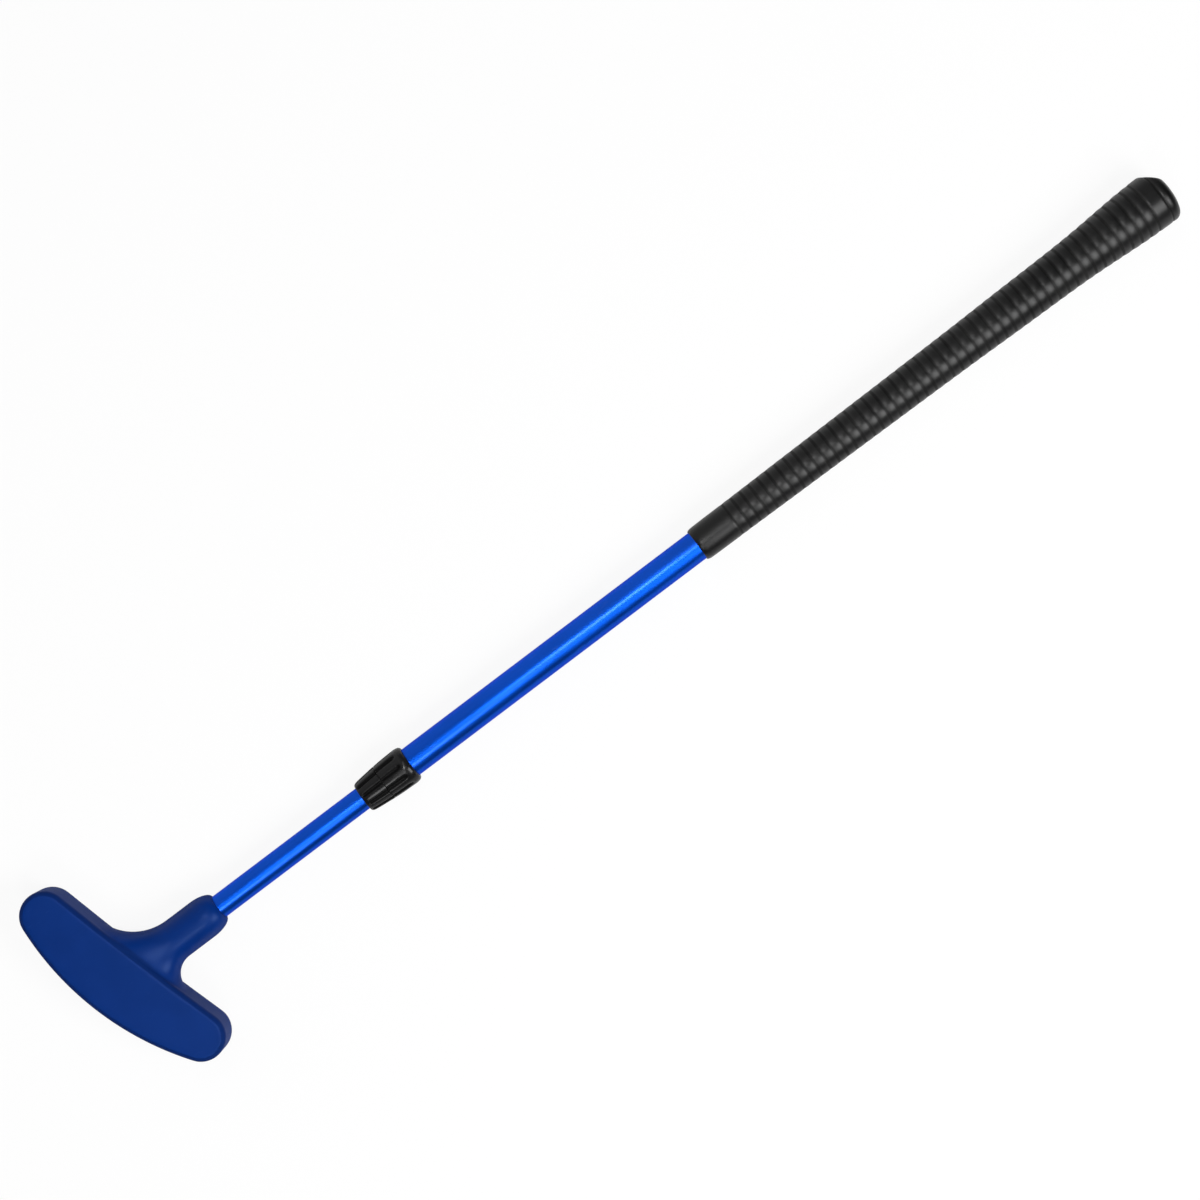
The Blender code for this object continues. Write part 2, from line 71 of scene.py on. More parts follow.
class Slot(Enum):
    """Names of the record's material slots, which nothing here uses."""

    HEAD = "head_rubber"
    GRIP = "grip_rubber"
    TUBE = "tube_blue"
    LOCK = "lock_plastic"


def step(operation: str, swapped: bool = False) -> Callable[..., "Value"]:
    """Makes an operator for values.

    Args:
        operation: The Math node's operation.
        swapped: Whether the value comes second.

    Returns:
        A method that adds a Math node and gives its output.
    """

    def apply(value: "Value", *others: "Feed") -> "Value":
        """Adds the node for one step."""
        terms = (*others, value) if swapped else (value, *others)
        return value.web.add("ShaderNodeMath", dict(enumerate(terms)), operation=operation)

    return apply


class Value:
    """A node's output that is reckoned with like a number: each step becomes a Math node."""

    __add__ = step("ADD")
    __sub__ = step("SUBTRACT")
    __rsub__ = step("SUBTRACT", swapped=True)
    __mul__ = step("MULTIPLY")
    __truediv__ = step("DIVIDE")
    __rtruediv__ = step("DIVIDE", swapped=True)
    __pow__ = step("POWER")
    __abs__ = step("ABSOLUTE")
    __gt__ = step("GREATER_THAN")
    __lt__ = step("LESS_THAN")
    larger = step("MAXIMUM")
    root = step("SQRT")
    sine = step("SINE")
    cosine = step("COSINE")
    fraction = step("FRACT")
    angle = step("ARCTAN2")

    def __init__(self, web: "NodeWeb", node: Node, key: str | int = 0) -> None:
        """Takes one output of a node."""
        self.web, self.node, self.key = web, node, key

    def __getitem__(self, key: str | int) -> "Value":
        """Another output of the same node."""
        return Value(self.web, self.node, key)


Feed = float | str | tuple | Value
Looks = dict[str, Value]


def rgba(colour: Triple, scale: float = 1.0) -> tuple[float, float, float, float]:
    """A colour with its alpha, made lighter or darker by a factor."""
    return (colour[0] * scale, colour[1] * scale, colour[2] * scale, 1.0)


class NodeWeb:
    """Adds nodes to one node tree and links them, laid out in rows so that the tree can be read."""

    ROW = 12
    LEFT = -1400
    STEP = (190, -240)

    def __init__(self, tree: NodeTree) -> None:
        """Starts on a shader or geometry node tree."""
        self.tree = tree
        self.count = 0

    def feed(self, socket: NodeSocket, value: Feed) -> None:
        """Links an output to an input, or sets the input's own value.

        Args:
            socket: The input to fill.
            value: What it takes.
        """
        if isinstance(value, Value):
            self.tree.links.new(value.node.outputs[value.key], socket)
        else:
            socket.default_value = value

    def add(self, kind: str, inputs: dict[str | int, Feed] | None = None, **settings: object) -> Value:
        """Adds a node.

        Args:
            kind: The node's type.
            inputs: What each input takes, by its name or number.
            settings: The node's own properties.

        Returns:
            The node's first output, from which the others are reached.
        """
        node = self.tree.nodes.new(kind)
        row, column = divmod(self.count, self.ROW)
        node.location = (self.LEFT + self.STEP[0] * column, self.STEP[1] * row)
        self.count += 1
        for name, value in settings.items():
            setattr(node, name, value)
        for key, value in (inputs or {}).items():
            self.feed(node.inputs[key], value)
        return Value(self, node)

    def fade(self, value: Feed, low: Feed, high: Feed, first: Feed = 0.0, last: Feed = 1.0) -> Value:
        """Runs smoothly from a first to a last number as a value crosses a span from low to high."""
        inputs = {"Value": value, "From Min": low, "From Max": high, "To Min": first, "To Max": last}
        return self.add("ShaderNodeMapRange", inputs, interpolation_type="SMOOTHSTEP")

    def tint(self, share: Feed, first: Feed, second: Feed) -> Value:
        """Mixes two colours by a share from 0 to 1."""
        return self.add("ShaderNodeMix", {0: share, 6: first, 7: second}, data_type="RGBA")[2]

    def noise(self, where: Value, size: Value, detail: float) -> Value:
        """Noise from 0 to 1 whose cells have a size in millimetres."""
        inputs = {"Vector": where, "Scale": 1 / MM / size, "Detail": detail}
        return self.add("ShaderNodeTexNoise", inputs)["Fac"]

    def vector(self, x: Feed, y: Feed, z: Feed) -> Value:
        """Joins three numbers into a vector."""
        return self.add("ShaderNodeCombineXYZ", {"X": x, "Y": y, "Z": z})


class Effects:
    """Surface effects that several materials share, each one shader node group that is built once."""

    # The span of the pits' distance over which they rise, and their height beside the fine noise.
    PIT_SPAN = (0.1, 0.7)
    PIT_HEIGHT = 0.5
    # Scuffs show where their noise is over an edge, which an amount lowers. They lie in two directions,
    # turned and squeezed.
    SCUFF_EDGE = 0.76
    SCUFF_LOWERING = 0.1
    SCUFF_FADE = 0.05
    SCUFF_RUNS = ((0.7, 14.0), (-0.5, 18.0))

    @staticmethod
    def group(name: str, output: str, **sizes: float) -> tuple[NodeWeb, Value, NodeSocket]:
        """Starts a group that reads a place on the surface and gives one value.

        Args:
            name: The group's name.
            output: The name of its output.
            sizes: Its number inputs and their defaults.

        Returns:
            The web to build in, the group's inputs, and the socket that the result goes into.
        """
        tree = bpy.data.node_groups.new(name, "ShaderNodeTree")
        face = tree.interface
        face.new_socket("Vector", in_out="INPUT", socket_type="NodeSocketVector")
        for key, value in sizes.items():
            face.new_socket(key, in_out="INPUT", socket_type="NodeSocketFloat").default_value = value
        face.new_socket(output, in_out="OUTPUT", socket_type="NodeSocketFloat")
        web = NodeWeb(tree)
        return web, web.add("NodeGroupInput"), web.add("NodeGroupOutput").node.inputs[0]

    @staticmethod
    @cache
    def grain() -> NodeTree:
        """Fine moulded grain of two kinds of noise.

        Returns:
            A group that gives a height, from the grain's cell in millimetres.
        """
        web, given, result = Effects.group("moulded_grain", "Height", Cell=0.4)
        pits = {"Vector": given["Vector"], "Scale": 1 / MM / given["Cell"]}
        pits = web.fade(web.add("ShaderNodeTexVoronoi", pits)["Distance"], *Effects.PIT_SPAN)
        web.feed(result, web.noise(given["Vector"], given["Cell"], 3.0) + pits * Effects.PIT_HEIGHT)
        return web.tree

    @staticmethod
    @cache
    def mottle() -> NodeTree:
        """Slow blotches, as handling and uneven cooling leave them.

        Returns:
            A group that gives a share from 0 to 1, from the blotches' size in millimetres.
        """
        web, given, result = Effects.group("slow_mottle", "Mask", Size=12.0, Contrast=0.18)
        noise = web.noise(given["Vector"], given["Size"], 5.0)
        web.feed(result, web.fade(noise, 0.5 - given["Contrast"], given["Contrast"] + 0.5))
        return web.tree

    @staticmethod
    @cache
    def streaks() -> NodeTree:
        """Fine lines that run along the shaft, as drawing and wiping leave them.

        Returns:
            A group that gives a value from 0 to 1, from the lines' width in millimetres.
        """
        web, given, result = Effects.group("drawn_streaks", "Value", Width=0.3, Stretch=60.0)
        stretched = {0: given["Vector"], 1: web.vector(1.0 / given["Stretch"], 1.0, 1.0)}
        drawn = web.add("ShaderNodeVectorMath", stretched, operation="MULTIPLY")
        web.feed(result, web.noise(drawn, given["Width"], 2.0))
        return web.tree

    @staticmethod
    @cache
    def scuffs() -> NodeTree:
        """Sparse hair-thin marks in two crossing directions.

        Returns:
            A group that gives a share from 0 to 1, from the marks' length in millimetres.
        """
        web, given, result = Effects.group("sparse_scuffs", "Mask", Length=6.0, Amount=0.3)
        edge = Effects.SCUFF_EDGE - given["Amount"] * Effects.SCUFF_LOWERING
        marks = []
        for turn, squeeze in Effects.SCUFF_RUNS:
            run = {"Rotation": (0.3, 0.2, turn), "Scale": (1.0, squeeze, squeeze)}
            laid = web.add("ShaderNodeMapping", {"Vector": given["Vector"]} | run)
            noise = web.noise(laid, given["Length"], 1.0)
            marks.append(web.fade(noise, edge, edge + Effects.SCUFF_FADE))
        web.feed(result, marks[0].larger(marks[1]))
        return web.tree


class Surface(NodeWeb):
    """The nodes of one material, which start from the place on the surface."""

    def __init__(self, tree: NodeTree) -> None:
        """Starts on a material's tree."""
        super().__init__(tree)
        self.where = self.add("ShaderNodeTexCoord")["Object"]

    def effect(self, group: NodeTree, **inputs: Feed) -> Value:
        """Lays a shared effect over the surface, or over the place that is given as its Vector."""
        return self.add("ShaderNodeGroup", {"Vector": self.where} | inputs, node_tree=group)

    def carried(self, name: str) -> Value:
        """A number that the mesh carries at each point."""
        return self.add("ShaderNodeAttribute", attribute_name=name)["Fac"]

    def band(self, value: Value, span: Place, first: float = 0.0, last: float = 1.0) -> Value:
        """Fades as a value in metres crosses a span in millimetres."""
        return self.fade(value, span[0] * MM, span[1] * MM, first, last)


@dataclass(frozen=True)
class Finish:
    """A finish: the numbers that are the same all over a surface, and the nodes that vary it.

    Tones and roughs are the factors between which the colour and the roughness vary, the roughness as a value
    crosses a span.
    """

    name: str
    colour: Triple
    roughness: float
    metallic: float = 0.0
    specular: float = 0.5
    coat: float = 0.0
    coat_roughness: float = 0.1
    sheen_colour: Triple = (1.0, 1.0, 1.0)
    grain_cell: float = 0.4
    grain_depth: float = 0.01
    tones: Place = (0.92, 1.08)
    roughs: Place = (0.94, 1.06)
    rough_span: Place = (0.0, 1.0)

    def material(self) -> Material:
        """Makes the material.

        Returns:
            A new material with a Principled shader whose colour, roughness and normal come from nodes.
        """
        material = bpy.data.materials.new(self.name)
        material.use_nodes = True
        on = Surface(material.node_tree)
        looks = self.dress(on)
        relief = {"Strength": 1.0, "Distance": self.grain_depth * MM, "Height": looks.pop("Height")}
        even = {
            "Metallic": self.metallic,
            "Specular IOR Level": self.specular,
            "Specular Tint": rgba(self.sheen_colour),
            "Coat Weight": self.coat,
            "Coat Roughness": self.coat_roughness,
            "Normal": on.add("ShaderNodeBump", relief),
        }
        inputs = material.node_tree.nodes["Principled BSDF"].inputs
        for name, value in (even | looks).items():
            on.feed(inputs[name], value)
        return material

    def grain(self, on: Surface) -> Value:
        """The height of the moulded grain."""
        return on.effect(Effects.grain(), Cell=self.grain_cell)

    def toned(self, on: Surface, share: Value) -> Value:
        """The colour between its two tones."""
        return on.tint(share, *(rgba(self.colour, tone) for tone in self.tones))

    def roughened(self, on: Surface, value: Value) -> Value:
        """The roughness between its two factors."""
        return on.fade(value, *self.rough_span, *(self.roughness * factor for factor in self.roughs))

    def dress(self, on: Surface) -> Looks:
        """Varies colour and roughness with slow blotches and adds the grain.

        Args:
            on: The material's nodes.

        Returns:
            The inputs that vary, and the height.
        """
        patch = on.effect(Effects.mottle(), Size=7.0)
        rough = self.roughened(on, patch)
        return {"Base Color": self.toned(on, patch), "Roughness": rough, "Height": self.grain(on)}


@dataclass(frozen=True)
class AnodisedTube(Finish):
    """Dyed and sealed aluminium: drawn lines along the tube, faint wiping marks and a clear top layer."""

    tones: Place = (0.95, 1.05)
    roughs: Place = (0.9, 1.1)
    rough_span: Place = (0.3, 0.7)
    line_width: float = 0.16
    line_share: float = 0.12
    line_shade: float = 0.75
    mark_share: float = 0.35
    mark_depth: float = 0.4
    mark_roughness: float = 0.08
    patch_roughness: float = 0.02
    worn: Triple = (0.052, 0.132, 0.58)

    def dress(self, on: Surface) -> Looks:
        """Lays the drawn lines, the dye's slow change and a few handling marks.

        Args:
            on: The material's nodes.

        Returns:
            The inputs that vary, and the height.
        """
        lines = on.effect(Effects.streaks(), Width=self.line_width, Stretch=220.0)
        patch = on.effect(Effects.mottle(), Size=26.0, Contrast=0.22)
        marks = on.effect(Effects.scuffs(), Length=9.0, Amount=0.15)
        tone = on.tint(lines * self.line_share, self.toned(on, patch), rgba(self.colour, self.line_shade))
        tone = on.tint(marks * self.mark_share, tone, rgba(self.worn))
        rough = self.roughened(on, lines) + patch * self.patch_roughness
        rough = rough + marks * self.mark_roughness
        return {"Base Color": tone, "Roughness": rough, "Height": lines - marks * self.mark_depth}


@dataclass(frozen=True)
class HeadRubber(Finish):
    """Blue moulded rubber: a fine grain, a parting line halfway between the faces and rubbed face edges.

    Parting, rub_in and rub_out are spans of the distance from that line, and so is the band where the rounded
    edges of the walls are darkened as painted shade.
    """

    tones: Place = (0.94, 1.05)
    roughs: Place = (0.95, 1.05)
    parting: Place = (0.16, 0.352)
    parting_share: float = 0.5
    parting_height: float = 6.0
    rub_in: Place = (12.15, 12.9)
    rub_out: Place = (12.95, 13.2)
    rub_share: float = 0.15
    mark_share: float = 0.25
    mark_light: float = 1.3
    pale: Triple = (0.0124, 0.0378, 0.16675)
    wall_from: Place = (0.4, 0.9)
    wall_roughness: float = 0.72
    # Where the walls' rounded edges are painted darker as shade, and by what factor.
    painted_shade_band: Place = (10.4, 12.2)
    painted_shade_factor: float = 0.68

    def dress(self, on: Surface) -> Looks:
        """Adds grain, the parting line, handling marks, the rubbed edges and painted shade on the rounded
        edges of the walls.

        Args:
            on: The material's nodes.

        Returns:
            The inputs that vary, and the height.
        """
        patch = on.effect(Effects.mottle(), Size=16.0, Contrast=0.25)
        marks = on.effect(Effects.scuffs(), Length=7.0, Amount=0.2)
        off = abs(on.add("ShaderNodeSeparateXYZ", {"Vector": on.where})["Z"] - AXIS_Z * MM)
        line = on.band(off, self.parting, 1.0, 0.0)
        edge = on.band(off, self.rub_in) * on.band(off, self.rub_out, 1.0, 0.0)
        rub = (edge * patch * self.rub_share).larger(line * self.parting_share)
        tone = on.tint(rub, self.toned(on, patch), rgba(self.pale))
        tone = on.tint(marks * self.mark_share, tone, rgba(self.pale, self.mark_light))
        wall = on.carried("wall")
        # Painted shade: the colour darkens over the rounded edges of the walls, as if they were shaded.
        band = on.band(off, self.painted_shade_band) * on.fade(wall, *self.wall_from)
        tone = on.tint(band, tone, rgba(self.colour, self.painted_shade_factor))
        rough = self.roughened(on, patch) + wall * (self.wall_roughness - self.roughness)
        height = self.grain(on) + line * self.parting_height
        return {"Base Color": tone, "Roughness": rough, "Height": height}


@dataclass(frozen=True)
class GroovedBlack(Finish):
    """Black rubber or plastic whose mesh carries a groove attribute: dull dust lies in the grooves, and their
    colour can be darkened as painted shade.
    """

    tones: Place = (0.9, 1.1)
    roughs: Place = (0.95, 1.06)
    mark_roughness: float = 0.06
    dust: Triple = (0.05, 0.05, 0.048)
    dust_share: float = 0.2
    dust_roughness: float = 0.2
    # How far the grooves' colour is darkened as painted shade.
    hollow_painted_shade: float = 1.0
    hollow_roughness: float = 0.0
    hollow_gloss: float = 0.15
    hollow_from: Place = (0.04, 0.35)

    def dress(self, on: Surface) -> Looks:
        """Adds grain, polish on the crests, painted shade and duller gloss in the grooves, and dust in them.

        Args:
            on: The material's nodes.

        Returns:
            The inputs that vary, and the height.
        """
        groove = on.carried("groove")
        patch = on.effect(Effects.mottle(), Size=9.0, Contrast=0.25)
        marks = on.effect(Effects.scuffs(), Length=5.0, Amount=0.25)
        held = groove * patch * self.dust_share
        hollow = on.fade(groove, *self.hollow_from)
        # Painted shade: the colour darkens in the grooves.
        tone = on.tint(hollow, self.toned(on, patch), rgba(self.colour, self.hollow_painted_shade))
        rough = self.roughened(on, patch) + held * self.dust_roughness
        rough = rough + hollow * self.hollow_roughness + marks * self.mark_roughness
        return {
            "Base Color": on.tint(held, tone, rgba(self.dust)),
            "Roughness": rough,
            "Coat Weight": on.fade(hollow, 0.0, 1.0, self.coat, self.coat * self.hollow_gloss),
            "Height": self.grain(on),
        }


@dataclass(frozen=True)
class GroundSteel(Finish):
    """Ground steel: fine turning lines round the pin and a little oil."""

    tones: Place = (0.9, 1.0)
    roughs: Place = (0.8, 1.2)
    rough_span: Place = (0.3, 0.7)

    def dress(self, on: Surface) -> Looks:
        """Adds rings across the pin and slow oil blotches.

        Args:
            on: The material's nodes.

        Returns:
            The inputs that vary, and the height.
        """
        across = on.add("ShaderNodeMapping", {"Vector": on.where, "Rotation": (0.0, math.pi / 2, 0.0)})
        lines = on.effect(Effects.streaks(), Vector=across, Width=0.15, Stretch=12.0)
        tone = self.toned(on, on.effect(Effects.mottle(), Size=3.0))
        return {"Base Color": tone, "Roughness": self.roughened(on, lines), "Height": lines}


@dataclass(frozen=True)
class PaperTape(Finish):
    """Crinkled paper tape: fibres along the strip and small creases."""

    tones: Place = (0.86, 1.0)
    roughs: Place = (0.9, 1.1)
    rough_span: Place = (0.2, 0.8)
    fibre_share: float = 0.3
    fibre_shade: float = 0.7

    def dress(self, on: Surface) -> Looks:
        """Adds fibres, creases and stains.

        Args:
            on: The material's nodes.

        Returns:
            The inputs that vary, and the height.
        """
        fibres = on.effect(Effects.streaks(), Width=0.5, Stretch=9.0)
        tone = self.toned(on, on.effect(Effects.mottle(), Size=14.0))
        tone = on.tint(fibres * self.fibre_share, tone, rgba(self.colour, self.fibre_shade))
        height = fibres + self.grain(on)
        return {"Base Color": tone, "Roughness": self.roughened(on, fibres), "Height": height}


ANODISED = AnodisedTube(
    "anodised_blue", (0.002, 0.072, 0.53), 0.33, metallic=1.0, coat=0.13, coat_roughness=0.17,
    sheen_colour=(0.2, 0.4, 1.0), grain_depth=0.0006,
)
HEAD_RUBBER = HeadRubber(
    "head_rubber_blue", (0.0004, 0.0198, 0.145), 0.36, specular=0.19, sheen_colour=(0.35, 0.55, 1.0),
    grain_cell=0.35,
)
GRIP_RUBBER = GroovedBlack(
    "grip_rubber_black", (0.0013, 0.0013, 0.0014), 0.38, specular=0.08, coat=0.4, coat_roughness=0.35,
    grain_cell=0.3, grain_depth=0.008, hollow_roughness=0.2, hollow_gloss=0.3, hollow_from=(0.3, 0.85),
)
# The lock's grooves are painted nearly black as shade.
LOCK_PLASTIC = GroovedBlack(
    "lock_plastic_black", (0.006, 0.006, 0.0063), 0.34, specular=0.06, coat=0.29, coat_roughness=0.17,
    grain_cell=0.25, grain_depth=0.0005, dust_share=0.03, hollow_painted_shade=0.15, hollow_roughness=0.25,
)
PLUG_PLASTIC = Finish("plug_plastic_black", (0.02, 0.02, 0.02), 0.45, grain_cell=0.3, grain_depth=0.006)
ACETAL = Finish("bearing_acetal", (0.68, 0.67, 0.62), 0.4, grain_cell=0.5, grain_depth=0.003)
CAST_IRON = Finish(
    "core_cast_iron", (0.16, 0.155, 0.15), 0.62, metallic=0.85, grain_cell=0.7, grain_depth=0.05,
)
PIN_STEEL = GroundSteel("pin_ground_steel", (0.52, 0.51, 0.5), 0.32, metallic=1.0, grain_depth=0.002)
TAPE_PAPER = PaperTape("grip_tape_paper", (0.6, 0.53, 0.38), 0.8, grain_cell=0.6, grain_depth=0.02)


def eased(share: float) -> float:
    """A share from 0 to 1, kept inside and eased at both ends."""
    share = min(max(share, 0.0), 1.0)
    return share**2 * (3 - 2 * share)


def smooth_line(points: tuple[Place, ...], along: float) -> float:
    """Reads a smooth curve through given points.

    Args:
        points: Places and values, in order.
        along: The place to read at, between the first and the last.

    Returns:
        The value there.
    """
    slopes = []
    for i in range(len(points)):
        before, after = points[max(i - 1, 0)], points[min(i + 1, len(points) - 1)]
        slopes.append((after[1] - before[1]) / (after[0] - before[0]))
    i = 0
    while i < len(points) - 2 and along > points[i + 1][0]:
        i += 1
    span = points[i + 1][0] - points[i][0]
    t = (along - points[i][0]) / span
    ease = 3 * t**2 - 2 * t**3
    bend = slopes[i] * span * (t - 2 * t**2 + t**3) + slopes[i + 1] * span * (t**3 - t**2)
    return points[i][1] + (points[i + 1][1] - points[i][1]) * ease + bend


def soften(corners: list[Place], size: float, steps: int = 4) -> list[Place]:
    """Rounds the corners of a closed outline.

    Args:
        corners: Each corner's place along the shaft and its radius.
        size: How far from its corner each rounding starts.
        steps: How many edges each rounding gets.

    Returns:
        The outline's points in the same order.
    """
    points: list[Place] = []
    for i, corner in enumerate(corners):
        here = Vector(corner)
        before = Vector(corners[i - 1]) - here
        after = Vector(corners[(i + 1) % len(corners)]) - here
        first = here + before.normalized() * min(size, before.length / 2)
        last = here + after.normalized() * min(size, after.length / 2)
        for k in range(steps + 1):
            t = k / steps
            points.append(tuple(first * (1 - t) ** 2 + here * (2 * t * (1 - t)) + last * t**2))
    return points


def mesh_from(bm: bmesh.types.BMesh, name: str) -> Mesh:
    """Writes work geometry to a new mesh.

    Args:
        bm: The work geometry, which is freed.
        name: The mesh's name.

    Returns:
        The mesh.
    """
    mesh = bpy.data.meshes.new(name)
    bm.to_mesh(mesh)
    bm.free()
    return mesh


def skinned(name: str, rings: list[list[Triple]], capped: bool) -> Mesh:
    """Skins a row of rings.

    Args:
        name: The mesh's name.
        rings: The points of each ring.
        capped: Whether both ends are capped. Otherwise the last ring runs into the first.

    Returns:
        A closed mesh whose faces point out.
    """
    bm = bmesh.new()
    rows = [[bm.verts.new(point) for point in ring] for ring in rings]
    for here, after in zip(rows, rows[1:] if capped else rows[1:] + rows[:1]):
        for i in range(len(here)):
            n = (i + 1) % len(here)
            bm.faces.new((here[i], here[n], after[n], after[i]))
    if capped:
        bm.faces.new(rows[0])
        bm.faces.new(rows[-1])
    bmesh.ops.recalc_face_normals(bm, faces=bm.faces)
    return mesh_from(bm, name)


def turned(name: str, profile: list[Place], steps: int) -> Mesh:
    """Turns a closed profile about the shaft's axis.

    Args:
        name: The mesh's name.
        profile: Places along the shaft and radii, all above zero, in order round the section.
        steps: How many sides the turning has.

    Returns:
        A closed mesh whose faces point out.
    """
    rings = []
    for k in range(steps):
        y, z = math.cos(math.tau * k / steps), math.sin(math.tau * k / steps)
        rings.append([(x * MM, r * y * MM, (AXIS_Z + r * z) * MM) for x, r in profile])
    return skinned(name, rings, capped=False)


def place_object(name: str, data: bpy.types.ID) -> Object:
    """Puts a mesh, curve, lamp or camera in the scene.

    Args:
        name: The object's name.
        data: What it shows.

    Returns:
        The object, at the origin.
    """
    obj = bpy.data.objects.new(name, data)
    bpy.context.scene.collection.objects.link(obj)
    return obj


def baked(obj: Object, name: str, cutters: tuple[Object, ...] = ()) -> Mesh:
    """Turns an object with its modifiers into a plain mesh and removes the object.

    Args:
        obj: The object to read.
        name: The new mesh's name.
        cutters: Solids that are cut out of it last, and removed too.

    Returns:
        The evaluated mesh.
    """
    for cutter in cutters:
        cut = obj.modifiers.new("cut", "BOOLEAN")
        cut.operation = "DIFFERENCE"
        cut.solver = "EXACT"
        cut.object = cutter
    bpy.context.view_layer.update()
    graph = bpy.context.evaluated_depsgraph_get()
    mesh = bpy.data.meshes.new_from_object(obj.evaluated_get(graph))
    for used in (obj, *cutters):
        bpy.data.objects.remove(used, do_unlink=True)
    mesh.name = name
    return mesh


def finish_piece(
    name: str, mesh: Mesh, material: Material, body: Body, node: str, crease: float = 38
) -> None:
    """Shades a finished mesh, gives it its material and lets it stand for its CAD node.

    Args:
        name: The piece's name.
        mesh: Its mesh, in place.
        material: Its material.
        body: The body that it moves with.
        node: The CAD node that it stands for.
        crease: Edges that turn by more than this many degrees stay sharp.
    """
    mesh.materials.clear()
    mesh.materials.append(material)
    mesh.shade_smooth()
    mesh.set_sharp_from_angle(angle=math.radians(crease))
    piece = place_object(name, mesh)
    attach(piece, body.value)
    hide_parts(node)
    LOG.info("%s: %d faces, rides on %s", name, len(mesh.polygons), body.value)


class SurfaceTree:
    """A Geometry Nodes tree that presses a rule into the outside of a turned piece.

    Its number inputs are lengths, apart from the plain ones.
    """

    name = "surface_rule"
    sizes: tuple[str, ...] = ()
    plain = ("Count", "Sharpness", "Turn")

    def __init__(self) -> None:
        """Builds the tree with its named inputs."""
        self.tree = bpy.data.node_groups.new(self.name, "GeometryNodeTree")
        self.tree.is_modifier = True
        face = self.tree.interface
        kinds = {"Geometry": "NodeSocketGeometry", "Finish": "NodeSocketMaterial"}
        kinds |= dict.fromkeys(self.sizes, "NodeSocketFloat")
        self.keys = {}
        for key, kind in kinds.items():
            self.keys[key] = face.new_socket(key, in_out="INPUT", socket_type=kind).identifier
        face.new_socket("Geometry", in_out="OUTPUT", socket_type="NodeSocketGeometry")
        self.web = NodeWeb(self.tree)
        self.given = self.web.add("NodeGroupInput")
        split = self.web.add("ShaderNodeSeparateXYZ", {0: self.web.add("GeometryNodeInputPosition")})
        self.x, self.y, self.z = split["X"], split["Y"], split["Z"] - AXIS_Z * MM
        self.radius = (self.y**2.0 + self.z**2.0).root()
        self.close(*self.press(*(self.given[size] for size in self.sizes)))

    def press(self, *sizes: Value) -> tuple[Value, Value]:
        """Gives each point's offset and the depth that is kept, from the tree's number inputs."""
        raise NotImplementedError

    def inward(self, depth: Value) -> Value:
        """An offset towards the shaft's axis, by a depth in metres."""
        share = depth * -1.0 / self.radius
        return self.web.vector(0.0, self.y * share, self.z * share)

    def close(self, offset: Value, groove: Value) -> None:
        """Moves the points, keeps the depth as an attribute, and ends the tree.

        Args:
            offset: How far each point moves.
            groove: The depth that is kept.
        """
        web = self.web
        stored = {"Geometry": self.given["Geometry"], "Name": "groove"}
        kept = web.add("GeometryNodeStoreNamedAttribute", stored)
        value = next(socket for socket in kept.node.inputs if socket.name == "Value" and socket.enabled)
        web.feed(value, groove)
        moved = web.add("GeometryNodeSetPosition", {"Geometry": kept, "Offset": offset})
        solid = web.add("GeometryNodeRealizeInstances", {0: moved})
        dressed = web.add("GeometryNodeSetMaterial", {"Geometry": solid, "Material": self.given["Finish"]})
        web.add("NodeGroupOutput", {0: dressed})

    def shape(self, mesh: Mesh, material: Material, values: dict[str, float]) -> Mesh:
        """Runs the tree on a mesh.

        Args:
            mesh: The turned piece.
            material: The piece's material.
            values: The tree's number inputs by name, lengths in millimetres.

        Returns:
            The shaped mesh.
        """
        obj = place_object(mesh.name + "_work", mesh)
        modifier = obj.modifiers.new(self.name, "NODES")
        modifier.node_group = self.tree
        modifier[self.keys["Finish"]] = material
        for key, value in values.items():
            modifier[self.keys[key]] = value if key in self.plain else value * MM
        return baked(obj, mesh.name)


class RibRule(SurfaceTree):
    """Round ribs with sharp grooves that deepen towards the butt, and one groove past them."""

    name = "grip_ribs"
    sizes = (
        "Start", "Pitch", "Count", "First Depth", "Last Depth", "Lip Groove", "Lip Width", "Lowest Radius",
    )
    # Where the grooves begin to fade past both ends and where they are gone, in parts of a rib.
    ENDS = (0.02, 0.24)

    def press(self, *sizes: Value) -> tuple[Value, Value]:
        """Presses the grooves where their rule puts them, and nothing in the bore.

        Args:
            sizes: The inputs, in order.

        Returns:
            Each point's offset, and the groove's depth from 0 to 1.
        """
        start, pitch, count, first, last, lip_at, lip_width, lowest = sizes
        near, far = self.ENDS
        phase = (self.x - start) / pitch
        begin = self.web.fade(phase, -far, -near)
        stop = self.web.fade(phase, count + near, count + near + (far - near), 1.0, 0.0)
        valley = (1.0 - abs((phase * math.pi).sine())) * begin * stop
        lip = self.web.fade(abs(self.x - lip_at), 0.0, lip_width, 1.0, 0.0)
        pressed = valley * (first + (last - first) * (phase / count)) + lip * last
        outer = self.radius > lowest
        return self.inward(pressed * outer), valley.larger(lip) * outer


